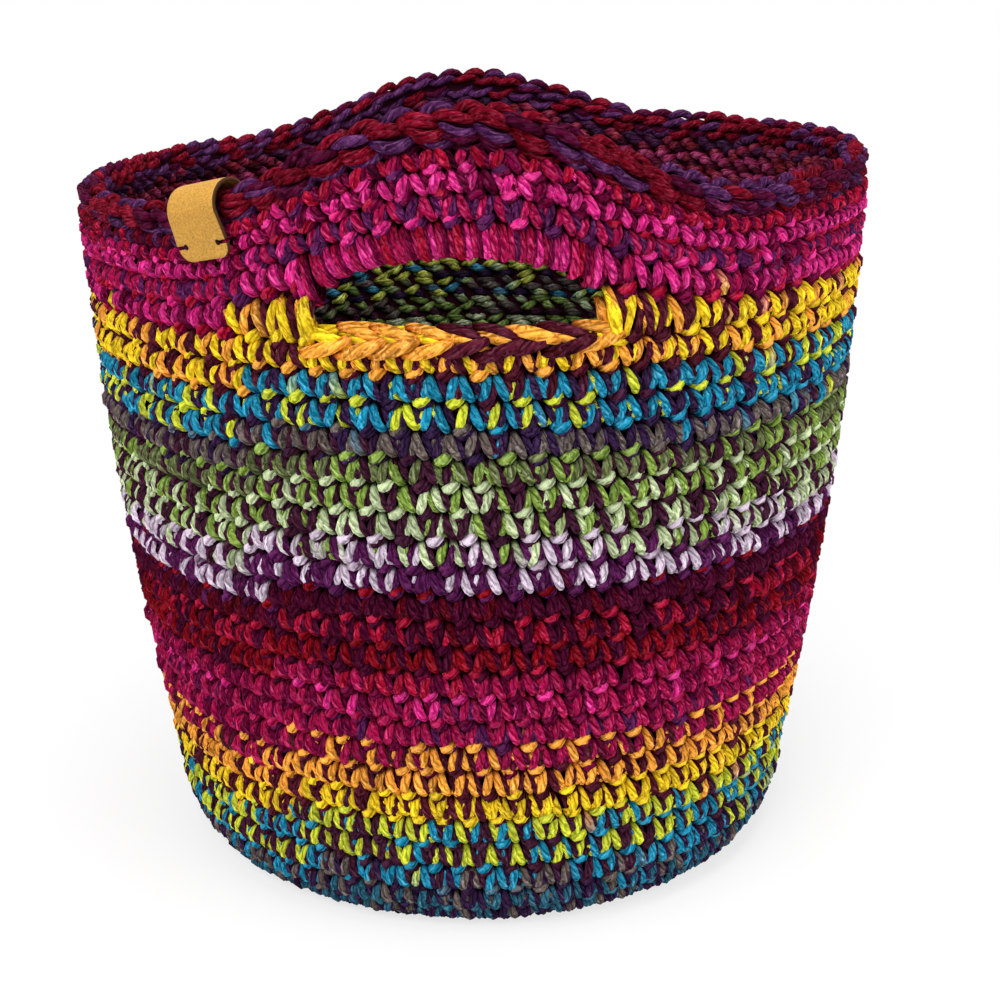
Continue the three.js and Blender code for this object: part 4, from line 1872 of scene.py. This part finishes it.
def seen_rays(graph: Graph) -> Signal:
    """Picks the rays that see the white background: straight, mirrored or through glass.

    Args:
        graph: Graph of the floor or the world.

    Returns:
        1 for those rays and 0 for the rest.
    """
    path = graph.node("ShaderNodeLightPath")
    kinds = ("Is Camera Ray", "Is Glossy Ray", "Is Transmission Ray")
    camera, glossy, through = (Signal(graph, path.outputs[kind]) for kind in kinds)
    return (camera + glossy + through).clamped(0.0, 1.0)


@dataclass(frozen=True)
class Lamp:
    """A soft square lamp that points at the bag, with its place, the length of its side and its power in watts."""

    name: str
    place: tuple[float, float, float]
    size: float
    power: float
    target: tuple[float, float, float] = (0.0, 0.0, 0.13)

    def build(self) -> None:
        """Adds the lamp to the scene."""
        data = bpy.data.lights.new(self.name, "AREA")
        data.size = self.size
        data.energy = self.power
        lamp = bpy.data.objects.new(self.name, data)
        bpy.context.scene.collection.objects.link(lamp)
        lamp.location = self.place
        aim = Vector(self.target) - Vector(self.place)
        lamp.rotation_euler = aim.to_track_quat("-Z", "Y").to_euler()


@dataclass(frozen=True)
class Studio:
    """Camera at the photograph's place, soft lamps and a white floor."""

    camera_distance: float = 577 * MM
    camera_height: float = 306.8 * MM
    pitch: float = math.radians(18.02)
    roll: float = math.radians(0.95)
    focal_pixels: float = 1546.0
    frame_pixels: float = 1000.0
    axis_offset_pixels: float = -22.6
    sensor: float = 36.0
    nearest: float = 0.01
    floor_reach: float = 6.0
    floor_grey: float = 0.9
    shadow_reach: float = 0.12
    shadow_fall: float = 3.2
    shadow_white: float = 0.72
    room_light: float = 0.23
    lamps: tuple[Lamp, ...] = (
        Lamp("key", (-0.5, -1.3, 1.8), 0.9, 20.0),
        Lamp("fill", (1.5, -0.9, 1.0), 1.2, 16.5),
        Lamp("side", (-1.6, -0.7, 0.9), 1.2, 13.5),
        Lamp("top", (0.1, -0.1, 1.9), 1.0, 25.0),
    )

    def camera(self) -> None:
        """Places the camera as the photograph was taken."""
        data = bpy.data.cameras.new("photo_camera")
        data.sensor_width = self.sensor
        data.lens = self.sensor * self.focal_pixels / self.frame_pixels
        data.shift_x = -self.axis_offset_pixels / self.frame_pixels
        data.clip_start = self.nearest
        camera = bpy.data.objects.new("photo_camera", data)
        bpy.context.scene.collection.objects.link(camera)
        cos, sin = math.cos(self.pitch), math.sin(self.pitch)
        right, up, back = Vector((1, 0, 0)), Vector((0, sin, cos)), Vector((0, -cos, sin))
        turn, lift = math.cos(self.roll), math.sin(self.roll)
        right, up = turn * right - lift * up, lift * right + turn * up
        matrix = Matrix((right, up, back)).transposed().to_4x4()
        matrix.translation = Vector((0.0, -self.camera_distance, self.camera_height))
        camera.matrix_world = matrix
        bpy.context.scene.camera = camera

    def floor(self) -> None:
        """Lays a white floor that keeps a faint shadow close to the bag."""
        material, graph = new_material("white_floor")
        plain = graph.node("ShaderNodeBsdfDiffuse", None, {"Color": grey_level(self.floor_grey)})
        white = graph.node("ShaderNodeEmission", None, {"Color": grey_level(1.0), "Strength": 1.0})
        spot = graph.node("ShaderNodeNewGeometry").outputs["Position"]
        away = graph.signal("ShaderNodeVectorMath", "Value", {"operation": "LENGTH"}, {0: spot})
        far = ((away - self.shadow_reach) * self.shadow_fall).clamped(0.0, 1.0)
        seen = seen_rays(graph) * (far * (1.0 - self.shadow_white) + self.shadow_white)
        shader = graph.node("ShaderNodeMixShader", None, {0: seen, 1: plain.outputs[0], 2: white.outputs[0]})
        graph.node("ShaderNodeOutputMaterial", None, {0: shader.outputs[0]})
        mesh = bpy.data.meshes.new("floor")
        corners = ((-1, -1), (1, -1), (1, 1), (-1, 1))
        points = [(self.floor_reach * x, self.floor_reach * y, 0.0) for x, y in corners]
        mesh.from_pydata(points, [], [(0, 1, 2, 3)])
        mesh.materials.append(material)
        floor = bpy.data.objects.new("floor", mesh)
        bpy.context.scene.collection.objects.link(floor)

    def world(self) -> None:
        """Gives the room an even pale light and a white background."""
        world = bpy.data.worlds.new("studio")
        bpy.context.scene.world = world
        world.use_nodes = True
        graph = Graph(world.node_tree)
        room = graph.node("ShaderNodeBackground", None, {"Color": grey_level(1.0), "Strength": self.room_light})
        white = graph.node("ShaderNodeBackground", None, {"Color": grey_level(1.0), "Strength": 1.0})
        inputs = {0: seen_rays(graph), 1: room.outputs[0], 2: white.outputs[0]}
        shader = graph.node("ShaderNodeMixShader", None, inputs)
        graph.node("ShaderNodeOutputWorld", None, {0: shader.outputs[0]})

    def build(self) -> None:
        """Sets up the whole studio."""
        bpy.context.scene.view_settings.view_transform = "Standard"
        self.camera()
        self.floor()
        self.world()
        for lamp in self.lamps:
            lamp.build()


@dataclass(frozen=True)
class Band:
    """A band of the wall that is one piece, from its first round up to its last.

    The two levels say how strongly a stitch is pulled before its second strand, or its ground strand, leads.
    """

    name: str
    first: int
    last: int
    seed: int
    swap_level: float
    dark_level: float

    def rounds(self, mix: YarnMix) -> CrochetRounds:
        """Sets up the rounds of the band.

        Args:
            mix: Colours of the yarn.

        Returns:
            The piece, ready to be built.
        """
        return CrochetRounds(
            self.name,
            SHAPE,
            mix,
            self.seed,
            first=self.first,
            last=self.last,
            swap_level=self.swap_level,
            dark_level=self.dark_level,
        )


BANDS = (
    Band("foot_rounds", first=-3, last=3, seed=40, swap_level=0.35, dark_level=-0.55),
    Band("lower_rounds", first=3, last=9, seed=41, swap_level=0.6, dark_level=-0.6),
    Band("middle_rounds", first=9, last=15, seed=42, swap_level=0.7, dark_level=-0.3),
    Band("upper_rounds", first=15, last=21, seed=43, swap_level=0.45, dark_level=-0.65),
    Band("handle_rounds", first=21, last=26, seed=44, swap_level=0.7, dark_level=-0.8),
)


def report(piece: bpy.types.Object) -> None:
    """Logs the size of a piece.

    Args:
        piece: The piece to count.
    """
    piece.data.calc_loop_triangles()
    LOG.info("%s: %d triangles", piece.name, len(piece.data.loop_triangles))


def main() -> None:
    """Builds the studio and every piece of the bag."""
    logging.basicConfig(level=logging.INFO, format="%(name)s: %(message)s")
    Studio().build()
    yarn = YarnFinish().material()
    # The core and the rim's cord are drawn in painted shade, far darker than the yarn's dye.
    dark = CoreFinish().material()
    mix = YarnMix(SHAPE)
    # Painted shade for the inside of the wall: the same yarn colours at half brightness and a little greyer.
    shaded = YarnMix(SHAPE, bright=0.5, painted_shade_grey=0.15)
    core = CrochetCore(SHAPE)
    report(core.build(dark))
    report(core.build_rim(dark))
    for band in BANDS:
        report(band.rounds(mix).build(yarn))
    report(RimBraid("rim_braid", SHAPE, mix, seed=51, sides=6, arc=TAU).build(yarn))
    report(SlotEdges("slot_edges", SHAPE, mix, seed=52, sides=6, arc=TAU).build(yarn))
    report(Lining("lining_rows", SHAPE, shaded, seed=53, sides=3).build(yarn))
    report(BaseRounds("base_rounds", SHAPE, mix, seed=54, sides=3).build(yarn))
    leather = LeatherFinish()
    report(LeatherTag(SHAPE).build(leather.material(), leather.edge_material()))


if __name__ == "__main__":
    main()
